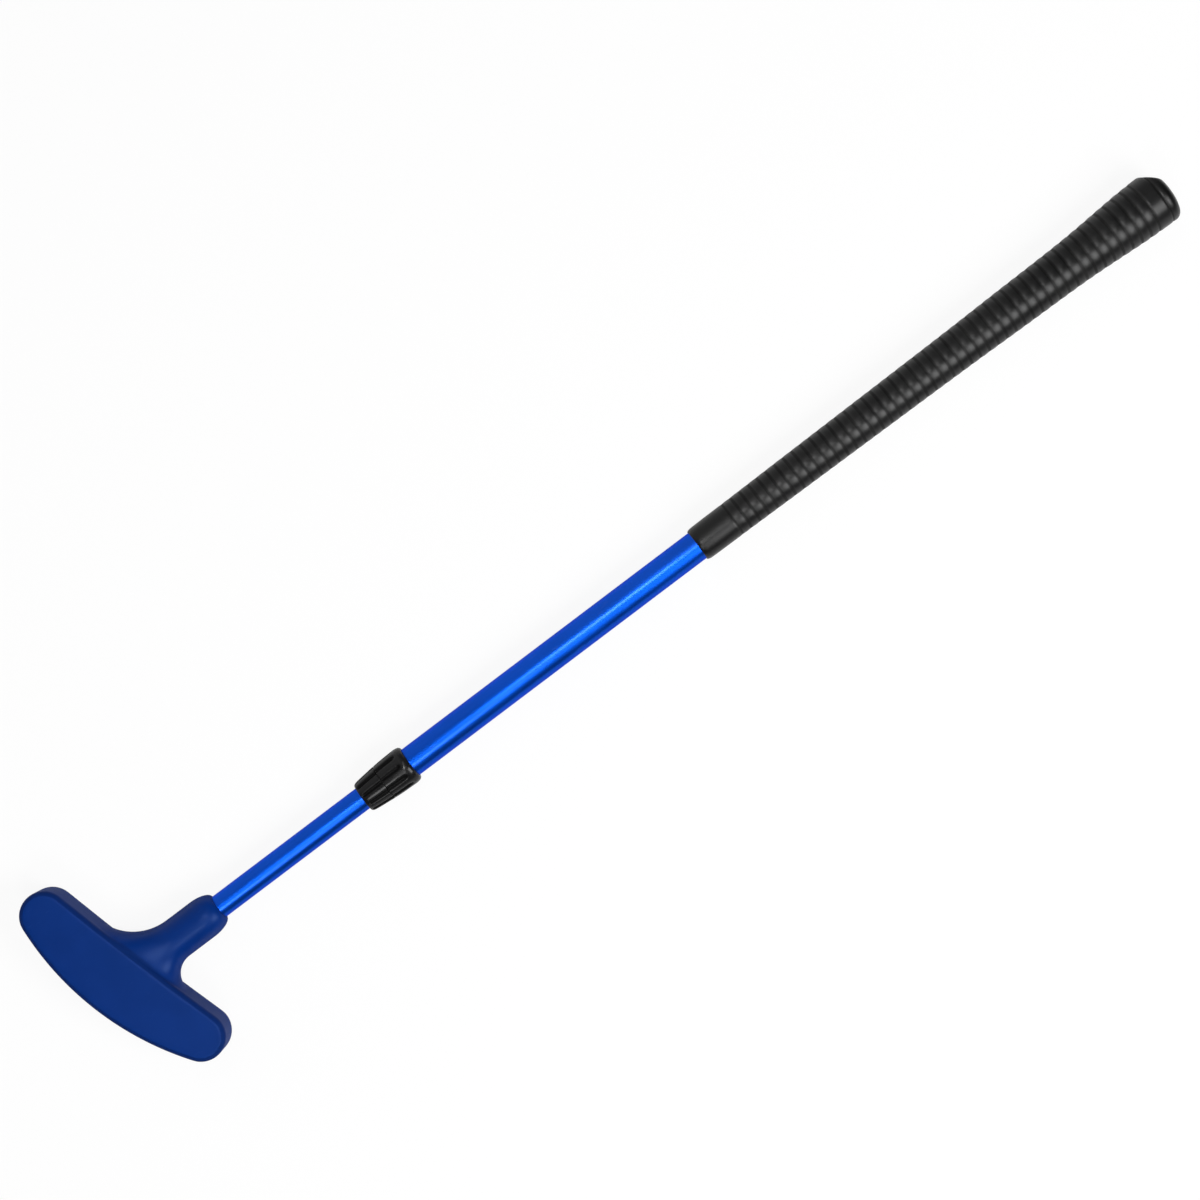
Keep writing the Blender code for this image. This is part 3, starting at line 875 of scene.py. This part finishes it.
class SlantRule(SurfaceTree):
    """A slanting flat across the toe side of the butt, with a soft edge."""

    name = "butt_slant"
    sizes = ("Rim Place", "Rim Radius", "Face Place", "Face Radius", "Softness")

    def press(self, *sizes: Value) -> tuple[Value, Value]:
        """Brings every point past the slanting plane back on to it.

        Args:
            sizes: The inputs, in order.

        Returns:
            Each point's offset, and the groove's depth as the ribs left it.
        """
        rim_place, rim_radius, face_place, face_radius, soft = sizes
        run, drop = face_place - rim_place, rim_radius - face_radius
        length = (run**2.0 + drop**2.0).root()
        across, up = drop / length, run / length
        far = (self.x - rim_place) * across + (self.y - rim_radius) * up
        back = (far + (far**2.0 + soft**2.0).root()) * -0.5
        back = back * self.web.fade(far, soft * -6.0, soft * -3.0)
        kept = self.web.add("GeometryNodeInputNamedAttribute", {"Name": "groove"}, data_type="FLOAT")
        return self.web.vector(back * across, back * up, 0.0), kept


class FluteRule(SurfaceTree):
    """Finger flutes round a lock piece, which fade out at both ends, and a screw thread on its spigot."""

    name = "finger_flutes"
    sizes = (
        "Count", "Depth", "Sharpness", "Turn", "Front", "Front Fade", "Back", "Back Fade", "Lowest Radius",
        "Thread Pitch", "Thread Depth", "Thread Start", "Thread End", "Thread Radius",
    )
    # The share of its pitch over which the thread starts and ends, and how near the spigot's radius it lies.
    THREAD_FADE = 0.2
    NEAR = 0.1

    def press(self, *sizes: Value) -> tuple[Value, Value]:
        """Presses the flutes and winds the thread.

        Args:
            sizes: The inputs, in order.

        Returns:
            Each point's offset, and the flute's depth from 0 to 1.
        """
        count, depth, sharpness, turn, front, front_fade, back, back_fade, lowest = sizes[:9]
        pitch, thread_depth, start, end, thread_radius = sizes[9:]
        x, fade = self.x, self.web.fade
        angle = self.y.angle(self.z * -1.0)
        flute = (0.5 - ((angle - turn) * count).cosine() * 0.5) ** sharpness
        flute = flute * fade(x, front, front + front_fade)
        flute = flute * (fade(x, back - back_fade, back, 1.0, 0.0) * (self.radius > lowest))
        crest = abs((x / pitch - angle / math.tau).fraction() * 2.0 - 1.0)
        run = pitch * self.THREAD_FADE
        crest = crest * fade(x, start, start + run)
        spigot = abs(self.radius - thread_radius) < self.NEAR * MM
        crest = crest * (fade(x, end - run, end, 1.0, 0.0) * spigot)
        return self.inward(flute * depth + crest * thread_depth), flute


@dataclass
class StrikingHead:
    """The rubber head: a bar with two round lobes that strikes with both faces, and the hosel it grows into.

    Lobes, dip and sole are measured from the middle of the head. Root depths are half thicknesses at the
    toe's and heel's side of the hosel's root, which is sunk into the bar by some way down and inwards. Turns
    are how far a surface's normal points up where the gloss of a face or of the neck begins, and over how
    much more it grows.
    """

    thickness: float = 26.5
    edge: float = 2.4
    edge_steps: int = 6
    lobe_offset: float = 45.3
    lobe_radius: float = 11.5
    lobe_rise: float = 0.9
    lobe_steps: int = 48
    dip: float = 0.5
    dip_at: float = 21.0
    sole_depth: float = 18.65
    sole_steps: int = 60
    toe_shift: float = 1.0
    lie: float = 74.6
    hosel_radius: float = 9.75
    hosel_end: float = 54.0
    hosel_steps: int = 96
    nose: Place = (10.0, 4.2)
    nose_stop: float = 78.0
    nose_steps: int = 18
    fillet_toe: float = 27.0
    fillet_heel: float = 10.5
    fillet_steps: int = 30
    sunk: Place = (3.0, 1.5)
    root_depths: Place = (12.8, 11.5)
    root_squareness: float = 2.9
    bore: float = 5.8
    bore_end: float = 60.0
    bore_middle: float = 0.001
    core: Triple = (78.6, 14.6, 17.6)
    voxel: float = 0.55
    smoothings: int = 8
    weld: float = 0.001
    neck_fade: float = 3.0
    face_turn: Place = (0.97, 0.028)
    neck_turn: Place = (0.25, 0.5)

    @property
    def top(self) -> float:
        """How far the hosel's side of the bar is from the middle of the head, between the lobes."""
        return self.lobe_rise + self.lobe_radius - self.dip

    def axes(self) -> tuple[Vector, Vector]:
        """Unit vectors in the plane of the faces: along the head to the heel, and down to the sole."""
        lie = math.radians(self.lie)
        return Vector((math.cos(lie), -math.sin(lie))), Vector((-math.sin(lie), -math.cos(lie)))

    def placed(self) -> Matrix:
        """Places head coordinates in the world.

        Returns:
            A matrix that turns X to the heel and Y to the hosel's side.
        """
        heel, sole = self.axes()
        place = Matrix.Identity(4)
        place.col[0] = (heel.x, heel.y, 0.0, 0.0)
        place.col[1] = (-sole.x, -sole.y, 0.0, 0.0)
        place.col[3] = (0.0, self.toe_shift * MM, AXIS_Z * MM, 1.0)
        return place

    @staticmethod
    def arc(centre: Place, radius: float, start: float, end: float, count: int) -> list[Place]:
        """Points along an arc, angles in degrees."""
        angles = [math.radians(start + (end - start) * i / count) for i in range(count + 1)]
        return [(centre[0] + radius * math.cos(a), centre[1] + radius * math.sin(a)) for a in angles]

    def outline(self) -> list[Place]:
        """Draws the striking face: two round lobes, a long arc for a sole and a faintly dipped top.

        Returns:
            The outline's points in head coordinates.
        """
        offset, rise, lobe, steps = self.lobe_offset, self.lobe_rise, self.lobe_radius, self.lobe_steps
        drop = self.sole_depth + rise
        radius = (offset**2 + drop**2 - lobe**2) / (2 * (drop - lobe))
        centre = radius - self.sole_depth
        reach = math.degrees(math.atan2(offset, centre - rise))
        lean = math.degrees(math.atan2(self.dip, offset - self.dip_at))
        heel = self.arc((offset, rise), lobe, reach - 90, 90 + lean, steps)
        toe = self.arc((-offset, rise), lobe, 90 - lean, 270 - reach, steps)
        sole = self.arc((0.0, centre), radius, 270 - reach, 270 + reach, self.sole_steps)
        return heel + [(self.dip_at, self.top), (-self.dip_at, self.top)] + toe + sole[1:-1]

    def bar(self) -> Mesh:
        """Raises the outline to the thickness, with rounded edges.

        Returns:
            The bar of the head, in place.
        """
        curve = bpy.data.curves.new("head_bar", "CURVE")
        curve.dimensions = "2D"
        curve.fill_mode = "BOTH"
        curve.extrude = (self.thickness / 2 - self.edge) * MM
        curve.bevel_depth = self.edge * MM
        curve.bevel_resolution = self.edge_steps
        curve.offset = -self.edge * MM
        points = self.outline()
        spline = curve.splines.new("POLY")
        spline.points.add(len(points) - 1)
        for point, (x, y) in zip(spline.points, points):
            point.co = (x * MM, y * MM, 0.0, 1.0)
        spline.use_cyclic_u = True
        mesh = baked(place_object("head_bar_work", curve), "head_bar")
        mesh.transform(self.placed())
        return mesh

    def stations(self) -> tuple[list[tuple[Vector, Vector]], int]:
        """Finds where the hosel's two edges run, station by station, from its end into the head.

        Returns:
            Pairs of points on the toe and heel edges, and the number of the first one in the fillets.
        """
        heel, sole = self.axes()
        foot = Vector((0.0, self.toe_shift)) - sole * self.top
        lie = math.radians(self.lie)
        toe_corner = foot.x - (self.hosel_radius - foot.y) * heel.x / -heel.y
        heel_corner = foot.x + (self.hosel_radius + foot.y) * heel.x / -heel.y
        toe_start = toe_corner + self.fillet_toe / math.tan((math.pi - lie) / 2)
        heel_start = heel_corner + self.fillet_heel / math.tan(lie / 2)
        found = []
        for i in range(self.nose_steps, -1, -1):
            angle = math.radians(self.nose_stop * i / self.nose_steps)
            along = self.hosel_end - self.nose[0] * (1 - math.sin(angle))
            radius = self.hosel_radius - self.nose[1] * (1 - math.cos(angle))
            found.append((Vector((along, radius)), Vector((along, -radius))))
        first = len(found)
        for i in range(self.fillet_steps + 1):
            share = i / self.fillet_steps
            toe_angle = math.radians(-90 - self.lie * share)
            heel_angle = math.radians(90 + (180 - self.lie) * share)
            toe = Vector((toe_start, self.hosel_radius + self.fillet_toe))
            toe += self.fillet_toe * Vector((math.cos(toe_angle), math.sin(toe_angle)))
            far = Vector((heel_start, -self.hosel_radius - self.fillet_heel))
            far += self.fillet_heel * Vector((math.cos(heel_angle), math.sin(heel_angle)))
            found.append((toe, far))
        toe, far = found[-1]
        down, inwards = sole * self.sunk[0], heel * self.sunk[1]
        found.append((toe + down + inwards, far + down - inwards))
        return found, first

    def hosel(self) -> Mesh:
        """Lofts the round neck that spreads into a flat-sided root.

        Returns:
            The closed neck, in place.
        """
        stations, first = self.stations()
        rings = []
        for index, (toe, far) in enumerate(stations):
            share = max(0.0, (index - first) / (len(stations) - 1 - first))
            middle, half = (toe + far) / 2, (toe - far) / 2
            neck = self.hosel_radius if index > first else half.length
            power = 2.0 / (2.0 + (self.root_squareness - 2.0) * share)
            ring = []
            for k in range(self.hosel_steps):
                angle = math.tau * k / self.hosel_steps
                across = math.copysign(abs(math.cos(angle)) ** power, math.cos(angle))
                up = math.copysign(abs(math.sin(angle)) ** power, math.sin(angle))
                spread = (self.root_depths[0] - self.root_depths[1]) * eased((1 + across) / 2)
                depth = neck + (self.root_depths[1] + spread - self.hosel_radius) * eased(share)
                point = middle + half * across
                ring.append((point.x * MM, point.y * MM, (AXIS_Z + depth * up) * MM))
            rings.append(ring)
        return skinned("hosel", rings, capped=True)

    def hollows(self) -> tuple[Object, Object]:
        """Makes what is cut out of the head.

        Returns:
            The pocket that holds the core, and the shaft's bore.
        """
        end, middle = self.bore_end, self.bore_middle
        corners = [(end, middle), (end, self.bore), (0.0, self.bore), (0.0, middle)]
        bore = turned("head_bore", corners, self.hosel_steps)
        bm = bmesh.new()
        bmesh.ops.create_cube(bm, size=1.0)
        bmesh.ops.scale(bm, vec=[side * MM for side in self.core], verts=bm.verts)
        bmesh.ops.transform(bm, matrix=self.placed(), verts=bm.verts)
        pocket = mesh_from(bm, "core_pocket")
        return place_object("core_pocket_work", pocket), place_object("head_bore_work", bore)

    def mark_walls(self, skin: Mesh) -> None:
        """Keeps, as an attribute from 0 to 1, where the rubber is matt: all but the faces and the neck.

        Args:
            skin: The finished mesh of the head.
        """
        sole = self.axes()[1]
        wall = skin.attributes.new("wall", "FLOAT", "POINT")
        for vertex, value in zip(skin.vertices, wall.data):
            place = Vector((vertex.co.x / MM, vertex.co.y / MM - self.toe_shift))
            neck = eased((-place.dot(sole) - self.top) / self.neck_fade)
            flat = abs(vertex.normal.z)
            face = eased((flat - self.face_turn[0]) / self.face_turn[1]) * (1 - neck)
            value.value = 1.0 - face - eased((flat - self.neck_turn[0]) / self.neck_turn[1]) * neck

    def build(self, material: Material) -> None:
        """Joins the bar and the hosel in one soft skin, hollows it and dresses it.

        Args:
            material: The head's rubber.
        """
        bm = bmesh.new()
        bm.from_mesh(self.bar())
        bm.from_mesh(self.hosel())
        bmesh.ops.remove_doubles(bm, verts=bm.verts, dist=self.weld * MM)
        work = place_object("putter_head_work", mesh_from(bm, "putter_head_work"))
        remesh = work.modifiers.new("skin", "REMESH")
        remesh.mode = "VOXEL"
        remesh.voxel_size = self.voxel * MM
        smooth = work.modifiers.new("soften", "SMOOTH")
        smooth.factor = 0.5
        smooth.iterations = self.smoothings
        skin = baked(work, "putter_head_skin", self.hollows())
        self.mark_walls(skin)
        finish_piece("putter_head_skin", skin, material, Body.LOWER, "putter_head", crease=46)


@dataclass
class Telescope:
    """The two anodised tubes, one sliding in the other."""

    lower_radius: float = 5.65
    lower_wall: float = 0.8
    lower_span: Place = (-4.5, 470.0)
    upper_radius: float = 7.2
    upper_wall: float = 0.7
    upper_span: Place = (151.5, 594.0)
    rim: float = 0.3
    pin_radius: float = 1.65
    pin_at: float = 2.0
    pin_steps: int = 48
    steps: int = 128

    def tube(self, name: str, span: Place, radius: float, wall: float) -> Mesh:
        """A drawn tube with its cut ends broken."""
        ring = [(span[1], radius), (span[0], radius), (span[0], radius - wall), (span[1], radius - wall)]
        return turned(name, soften(ring, self.rim), self.steps)

    def build(self, material: Material) -> None:
        """Makes both tubes and drills the lower one for its pin.

        Args:
            material: The anodised finish.
        """
        name = "lower_tube_drawn"
        lower = self.tube(name, self.lower_span, self.lower_radius, self.lower_wall)
        lower = place_object("lower_work", lower)
        bm = bmesh.new()
        radius = self.pin_radius * MM
        drill = {"radius1": radius, "radius2": radius, "depth": 4 * self.lower_radius * MM}
        bmesh.ops.create_cone(bm, cap_ends=True, segments=self.pin_steps, **drill)
        bmesh.ops.translate(bm, vec=(self.pin_at * MM, 0.0, AXIS_Z * MM), verts=bm.verts)
        cutter = place_object("pin_drill_work", mesh_from(bm, "pin_drill"))
        finish_piece(name, baked(lower, name, (cutter,)), material, Body.LOWER, "lower_tube")
        name = "upper_tube_drawn"
        upper = self.tube(name, self.upper_span, self.upper_radius, self.upper_wall)
        finish_piece(name, upper, material, Body.UPPER, "upper_tube")


@dataclass(frozen=True)
class LockPiece:
    """The outer side of a lock piece: its span, its radii at places from its front, and its flutes.

    The run says where the flutes start, the length over which they deepen, where they end and the length over
    which they fade, from the front too. They are turned by some degrees, and nothing under the lowest radius
    is pressed.
    """

    span: Place
    radii: tuple[Place, ...]
    run: tuple[float, ...]
    turn: float
    lowest: float

    def outside(self, row: float) -> list[Place]:
        """Samples the outer side finely along a smooth line.

        Args:
            row: How far apart the samples are.

        Returns:
            Points from the butt end down.
        """
        length = self.radii[-1][0]
        count = round(length / row)
        places = [length * i / count for i in range(count, -1, -1)]
        return [(self.span[0] + place, smooth_line(self.radii, place)) for place in places]

    def flutes(self) -> dict[str, float]:
        """Gives the flutes' sizes that are this piece's own.

        Returns:
            The rule's inputs by name.
        """
        front, deepening, back, fading = self.run
        return {
            "Turn": math.radians(self.turn),
            "Front": self.span[0] + front,
            "Front Fade": deepening,
            "Back": self.span[0] + back,
            "Back Fade": fading,
            "Lowest Radius": self.lowest,
        }


@dataclass
class TwistLock:
    """The black twist lock: the nut at the front and the base that is fixed on the upper tube."""

    nut: LockPiece = LockPiece(
        (137.0, 148.9),
        ((0.0, 7.0), (0.6, 7.45), (1.6, 7.75), (4.6, 8.15), (8.2, 8.5), (11.2, 8.8), (11.9, 8.84)),
        run=(0.2, 1.8, 17.9, 1.0), turn=12.0, lowest=6.95,
    )
    base: LockPiece = LockPiece(
        (149.2, 164.2),
        ((0.0, 8.86), (0.5, 8.92), (4.5, 9.2), (10.0, 9.38), (12.4, 9.36), (14.3, 8.9), (15.0, 8.2)),
        run=(-6.0, 1.0, 12.0, 3.4), turn=8.0, lowest=7.55,
    )
    nut_wall: float = 2.0
    thread_radius: float = 6.7
    thread_pitch: float = 3.0
    thread_depth: float = 0.2
    thread_span: Place = (143.6, 148.7)
    spigot_start: float = 141.5
    spigot_bore: float = 5.9
    cone: Place = (3.0, 6.45)
    tube_seat: float = 151.2
    tube_bore: float = 7.35
    flutes: int = 10
    depth: float = 0.9
    sharpness: float = 3.0
    steps: int = 240
    row: float = 0.3

    def nut_bore(self) -> list[Place]:
        """Draws the nut's thin front wall and its threaded bore.

        Returns:
            The section's inner points in order.
        """
        start, end = self.nut.span
        pocket = start + self.nut_wall
        bore = self.thread_radius + SLIDE_GAP
        return [(start, self.spigot_bore), (pocket, self.spigot_bore), (pocket, bore), (end, bore)]

    def base_bore(self) -> list[Place]:
        """Draws the base's spigot under the nut, with its inner cone, and the tube's seat.

        Returns:
            The section's inner points in order.
        """
        start, end = self.base.span
        reach = start - self.spigot_start
        rows = round(reach / self.row)
        return [(start - reach * i / rows, self.thread_radius) for i in range(rows + 1)] + [
            (self.spigot_start, self.cone[1]),
            (self.spigot_start + self.cone[0], self.spigot_bore),
            (self.tube_seat, self.spigot_bore),
            (self.tube_seat, self.tube_bore),
            (end, self.tube_bore),
        ]

    def build(self, material: Material) -> None:
        """Turns both pieces, presses their flutes and dresses them.

        Args:
            material: The lock's glossy plastic.
        """
        rule = FluteRule()
        shared = {
            "Count": float(self.flutes),
            "Depth": self.depth,
            "Sharpness": self.sharpness,
            "Thread Pitch": self.thread_pitch,
            "Thread Start": self.thread_span[0],
            "Thread End": self.thread_span[1],
            "Thread Radius": self.thread_radius,
        }
        pieces = (
            ("lock_nut", self.nut, self.nut_bore(), 0.0, Body.NUT),
            ("lock_base", self.base, self.base_bore(), self.thread_depth, Body.UPPER),
        )
        for node, piece, bore, thread, body in pieces:
            name = node + "_fluted"
            mesh = turned(name, piece.outside(self.row) + bore, self.steps)
            mesh = rule.shape(mesh, material, shared | piece.flutes() | {"Thread Depth": thread})
            finish_piece(name, mesh, material, body, node, crease=44)


@dataclass
class RibbedGrip:
    """The ribbed rubber grip, which swells towards its butt. Its sizes along the shaft are from its mouth."""

    start: float = 330.0
    length: float = 271.6
    radii: tuple[Place, ...] = (
        (0.0, 8.05), (2.5, 8.4), (20.0, 8.55), (60.0, 8.95), (105.0, 9.35), (150.0, 9.8), (180.0, 10.35),
        (212.0, 10.85), (226.0, 11.4), (240.0, 12.3), (251.0, 12.95), (262.0, 13.2), (267.0, 13.25),
    )
    bore: float = 7.7
    bore_rows: int = 8
    pocket: float = 265.6
    vent: float = 1.5
    rib_start: float = 20.0
    rib_pitch: float = 5.055
    rib_count: int = 47
    rib_depths: Place = (0.12, 0.26)
    lip_pitches: float = 1.5
    lip_width: float = 0.9
    lowest: float = 7.9
    corner: float = 3.5
    corner_rows: int = 16
    corner_stop: float = 84
    corner_lip: float = 0.12
    dome: float = 1.1
    dome_share: float = 0.82
    dome_power: float = 2.4
    dome_rows: int = 13
    mouth: tuple[float, ...] = (1.4, 0.9, 0.55, 0.3, 0.12)
    mouth_drop: float = 0.25
    mouth_end_drop: float = 0.3
    slant: Place = (8.0, 8.25)
    softness: float = 0.3
    steps: int = 96
    rows_per_rib: int = 12

    def butt(self) -> list[Place]:
        """Draws the butt's faint dome and its round corner.

        Returns:
            The section's points from the vent hole outwards.
        """
        corner_at = self.length - self.dome - self.corner
        corner_radius = self.radii[-1][1] - self.corner
        points = []
        for i in range(self.dome_rows):
            share = i / self.dome_rows
            radius = self.vent + (corner_radius + self.corner * self.corner_lip - self.vent) * share
            points.append((self.length - self.dome * self.dome_share * share**self.dome_power, radius))
        for i in range(self.corner_rows + 1):
            angle = math.radians(self.corner_stop - self.corner_stop * i / self.corner_rows)
            place = corner_at + self.corner * math.sin(angle)
            points.append((place, corner_radius + self.corner * math.cos(angle)))
        return points

    def profile(self) -> list[Place]:
        """Draws the section from the vent hole over the butt, down the outside and back up the bore.

        Returns:
            The section's points in order.
        """
        points = self.butt()
        row = self.rib_pitch / self.rows_per_rib
        place = self.length - self.dome - self.corner - row
        lip = self.mouth[0]
        while place > lip:
            points.append((place, smooth_line(self.radii, min(place, self.radii[-1][0]))))
            place -= row
        for place in self.mouth:
            drop = self.mouth_drop * (1 - place / lip) ** 2
            points.append((place, smooth_line(self.radii, place) - drop))
        points.append((0.0, self.radii[0][1] - self.mouth_end_drop))
        points += [(self.pocket * i / self.bore_rows, self.bore) for i in range(self.bore_rows + 1)]
        points.append((self.pocket, self.vent))
        return [(self.start + place, radius) for place, radius in points]

    def build(self, material: Material) -> None:
        """Turns the sleeve, presses its ribs, slants its butt and dresses it.

        Args:
            material: The grip's rubber.
        """
        mesh = turned("grip_sleeve_ribbed", self.profile(), self.steps)
        ribs_end = self.start + self.rib_start + self.rib_count * self.rib_pitch
        ribs = {
            "Start": self.start + self.rib_start,
            "Pitch": self.rib_pitch,
            "Count": float(self.rib_count),
            "First Depth": self.rib_depths[0],
            "Last Depth": self.rib_depths[1],
            "Lip Groove": ribs_end + self.lip_pitches * self.rib_pitch,
            "Lip Width": self.lip_width,
            "Lowest Radius": self.lowest,
        }
        mesh = RibRule().shape(mesh, material, ribs)
        rim = self.radii[-1][1]
        end = self.start + self.length
        slant = {
            "Rim Place": end - self.slant[0],
            "Rim Radius": rim,
            "Face Place": end,
            "Face Radius": rim - self.slant[1],
            "Softness": self.softness,
        }
        mesh = SlantRule().shape(mesh, material, slant)
        finish_piece("grip_sleeve_ribbed", mesh, material, Body.UPPER, "grip_sleeve", crease=50)


@dataclass
class InnerWorks:
    """The pieces inside, whose CAD shapes are right as they are and only take their finishes."""

    dressed: tuple[tuple[str, Finish], ...] = (
        ("head_core", CAST_IRON),
        ("anchor_pin", PIN_STEEL),
        ("guide_plug", PLUG_PLASTIC),
        ("glide_ring", ACETAL),
        ("lock_collet", ACETAL),
        ("tube_bush", ACETAL),
        ("tube_cap", PLUG_PLASTIC),
        ("grip_tape", TAPE_PAPER),
    )

    def build(self) -> None:
        """Gives each inner CAD node its material."""
        made: dict[str, Material] = {}
        for node, finish in self.dressed:
            if finish.name not in made:
                made[finish.name] = finish.material()
            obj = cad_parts[node]
            obj.data.materials.clear()
            obj.data.materials.append(made[finish.name])
            LOG.info("%s: takes %s", node, finish.name)


@dataclass(frozen=True)
class Softbox:
    """A soft lamp: where it hangs, what it points at, its sides in metres and how bright its face is."""

    name: str
    place: Triple
    target: Triple
    sides: Place
    radiance: float
    long_axis: Triple

    def build(self) -> None:
        """Hangs the lamp with its first side along its axis."""
        data = bpy.data.lights.new(self.name, "AREA")
        data.shape = "RECTANGLE"
        data.size, data.size_y = self.sides
        data.energy = self.radiance * math.pi * self.sides[0] * self.sides[1]
        back = (Vector(self.place) - Vector(self.target)).normalized()
        along = Vector(self.long_axis)
        along = (along - back * along.dot(back)).normalized()
        turn = Matrix((along, back.cross(along), back)).transposed().to_4x4()
        place_object(self.name, data).matrix_world = Matrix.Translation(Vector(self.place)) @ turn
        LOG.info("%s: %.2f x %.2f m", self.name, *self.sides)


@dataclass
class Studio:
    """A plain pale floor, soft lamps, a pale room and the camera that looks straight down on the putter.

    Sizes are in metres. Shown and mirrored white are the floor's shares of plain white, as the camera and
    reflections see it. The room's spans lie along Y, from heel to toe, and along X, from head to butt, in
    parts of a direction's length, each with the light's level or factor at its ends.
    """

    centre: Triple = (0.27905, 0.00703, 0.01325)
    distance: float = 1.37
    turn: float = 37.07
    metres_per_pixel: float = 0.4612e-3
    frame_pixels: int = 1200
    sensor: float = 36.0
    clip: Place = (0.05, 60.0)
    floor_side: float = 24.0
    floor_middle: Triple = (0.3, 0.0, -0.0002)
    floor_colour: Triple = (0.78, 0.78, 0.78)
    floor_roughness: float = 0.9
    floor_specular: float = 0.1
    shown_white: float = 0.9
    mirrored_white: float = 0.25
    toe_span: Place = (-0.05, 0.8)
    toe_levels: Place = (0.12, 0.78)
    tube_span: Place = (-0.16, 0.02)
    tube_factors: Place = (1.0, 1.28)
    butt_span: Place = (0.05, 0.26)
    butt_factors: Place = (1.0, 0.328125)
    lamps: tuple[Softbox, ...] = (
        Softbox("strip_overhead", (0.08, -0.33, 1.6), (0.08, -0.33, 0.0), (2.8, 0.22), 3.7, (0.4, 0.917, 0)),
        Softbox("side_for_grip", (0.72, -0.78, 1.05), (0.52, 0.0, 0.0), (0.5, 0.8), 11.5, (1.0, 0.0, 0.0)),
        Softbox("hosel_key", (-0.34, -0.8, 1.5), (0.04, 0.0, 0.0), (0.4, 0.4), 10.0, (1.0, 0.0, 0.0)),
        Softbox("small_key", (0.19, -0.01, 1.62), (0.19, 0.0, 0.0), (0.36, 0.24), 20.0, (0.0, 1.0, 0.0)),
    )

    def camera(self) -> None:
        """Hangs the camera above the putter, turned so that the shaft runs up to the right."""
        data = bpy.data.cameras.new("view_from_above")
        data.sensor_width = self.sensor
        data.lens = self.sensor * self.distance / (self.frame_pixels * self.metres_per_pixel)
        data.clip_start, data.clip_end = self.clip
        turn = math.radians(self.turn)
        right = Vector((math.cos(turn), -math.sin(turn), 0.0))
        up = Vector((math.sin(turn), math.cos(turn), 0.0))
        matrix = Matrix((right, up, Vector((0.0, 0.0, 1.0)))).transposed().to_4x4()
        matrix.translation = Vector(self.centre) + Vector((0.0, 0.0, self.distance))
        camera = place_object("view_from_above", data)
        camera.matrix_world = matrix
        bpy.context.scene.camera = camera

    def floor(self) -> None:
        """Lays the floor, which looks white to the camera and in reflections and keeps soft shadows."""
        bm = bmesh.new()
        bmesh.ops.create_grid(bm, x_segments=8, y_segments=8, size=self.floor_side / 2)
        bmesh.ops.translate(bm, vec=self.floor_middle, verts=bm.verts)
        floor = place_object("floor", mesh_from(bm, "floor"))
        material = bpy.data.materials.new("pale_floor")
        material.use_nodes = True
        web = NodeWeb(material.node_tree)
        shader = material.node_tree.nodes["Principled BSDF"]
        shader.inputs["Base Color"].default_value = rgba(self.floor_colour)
        shader.inputs["Roughness"].default_value = self.floor_roughness
        shader.inputs["Specular IOR Level"].default_value = self.floor_specular
        glow = web.add("ShaderNodeEmission", {"Color": (1.0, 1.0, 1.0, 1.0), "Strength": 1.0})
        path = web.add("ShaderNodeLightPath")
        mirrored = path["Is Glossy Ray"].larger(path["Is Transmission Ray"]) * self.mirrored_white
        share = (path["Is Camera Ray"] * self.shown_white).larger(mirrored)
        mix = web.add("ShaderNodeMixShader", {0: share, 1: Value(web, shader), 2: glow})
        web.feed(material.node_tree.nodes["Material Output"].inputs["Surface"], mix)
        floor.data.materials.append(material)

    def room(self) -> None:
        """Makes the room's light: brighter from the toe's side than the heel's, dimmer from the butt's."""
        world = bpy.data.worlds.new("pale_room")
        world.use_nodes = True
        web = NodeWeb(world.node_tree)
        split = web.add("ShaderNodeSeparateXYZ", {0: web.add("ShaderNodeTexCoord")["Generated"]})
        level = web.fade(split["Y"], *self.toe_span, *self.toe_levels)
        level = level * web.fade(split["X"], *self.tube_span, *self.tube_factors)
        level = level * web.fade(split["X"], *self.butt_span, *self.butt_factors)
        background = world.node_tree.nodes["Background"].inputs
        web.feed(background["Strength"], level.larger(web.add("ShaderNodeLightPath")["Is Camera Ray"]))
        web.feed(background["Color"], (1.0, 1.0, 1.0, 1.0))
        bpy.context.scene.world = world

    def build(self) -> None:
        """Sets up camera, floor, room and lamps."""
        bpy.context.scene.view_settings.view_transform = "Standard"
        self.camera()
        self.floor()
        self.room()
        for lamp in self.lamps:
            lamp.build()


def main() -> None:
    """Builds the studio and the putter's pieces in order."""
    logging.basicConfig(level=logging.INFO, format="%(message)s")
    Studio().build()
    StrikingHead().build(HEAD_RUBBER.material())
    Telescope().build(ANODISED.material())
    TwistLock().build(LOCK_PLASTIC.material())
    RibbedGrip().build(GRIP_RUBBER.material())
    InnerWorks().build()


if __name__ == "__main__":
    main()
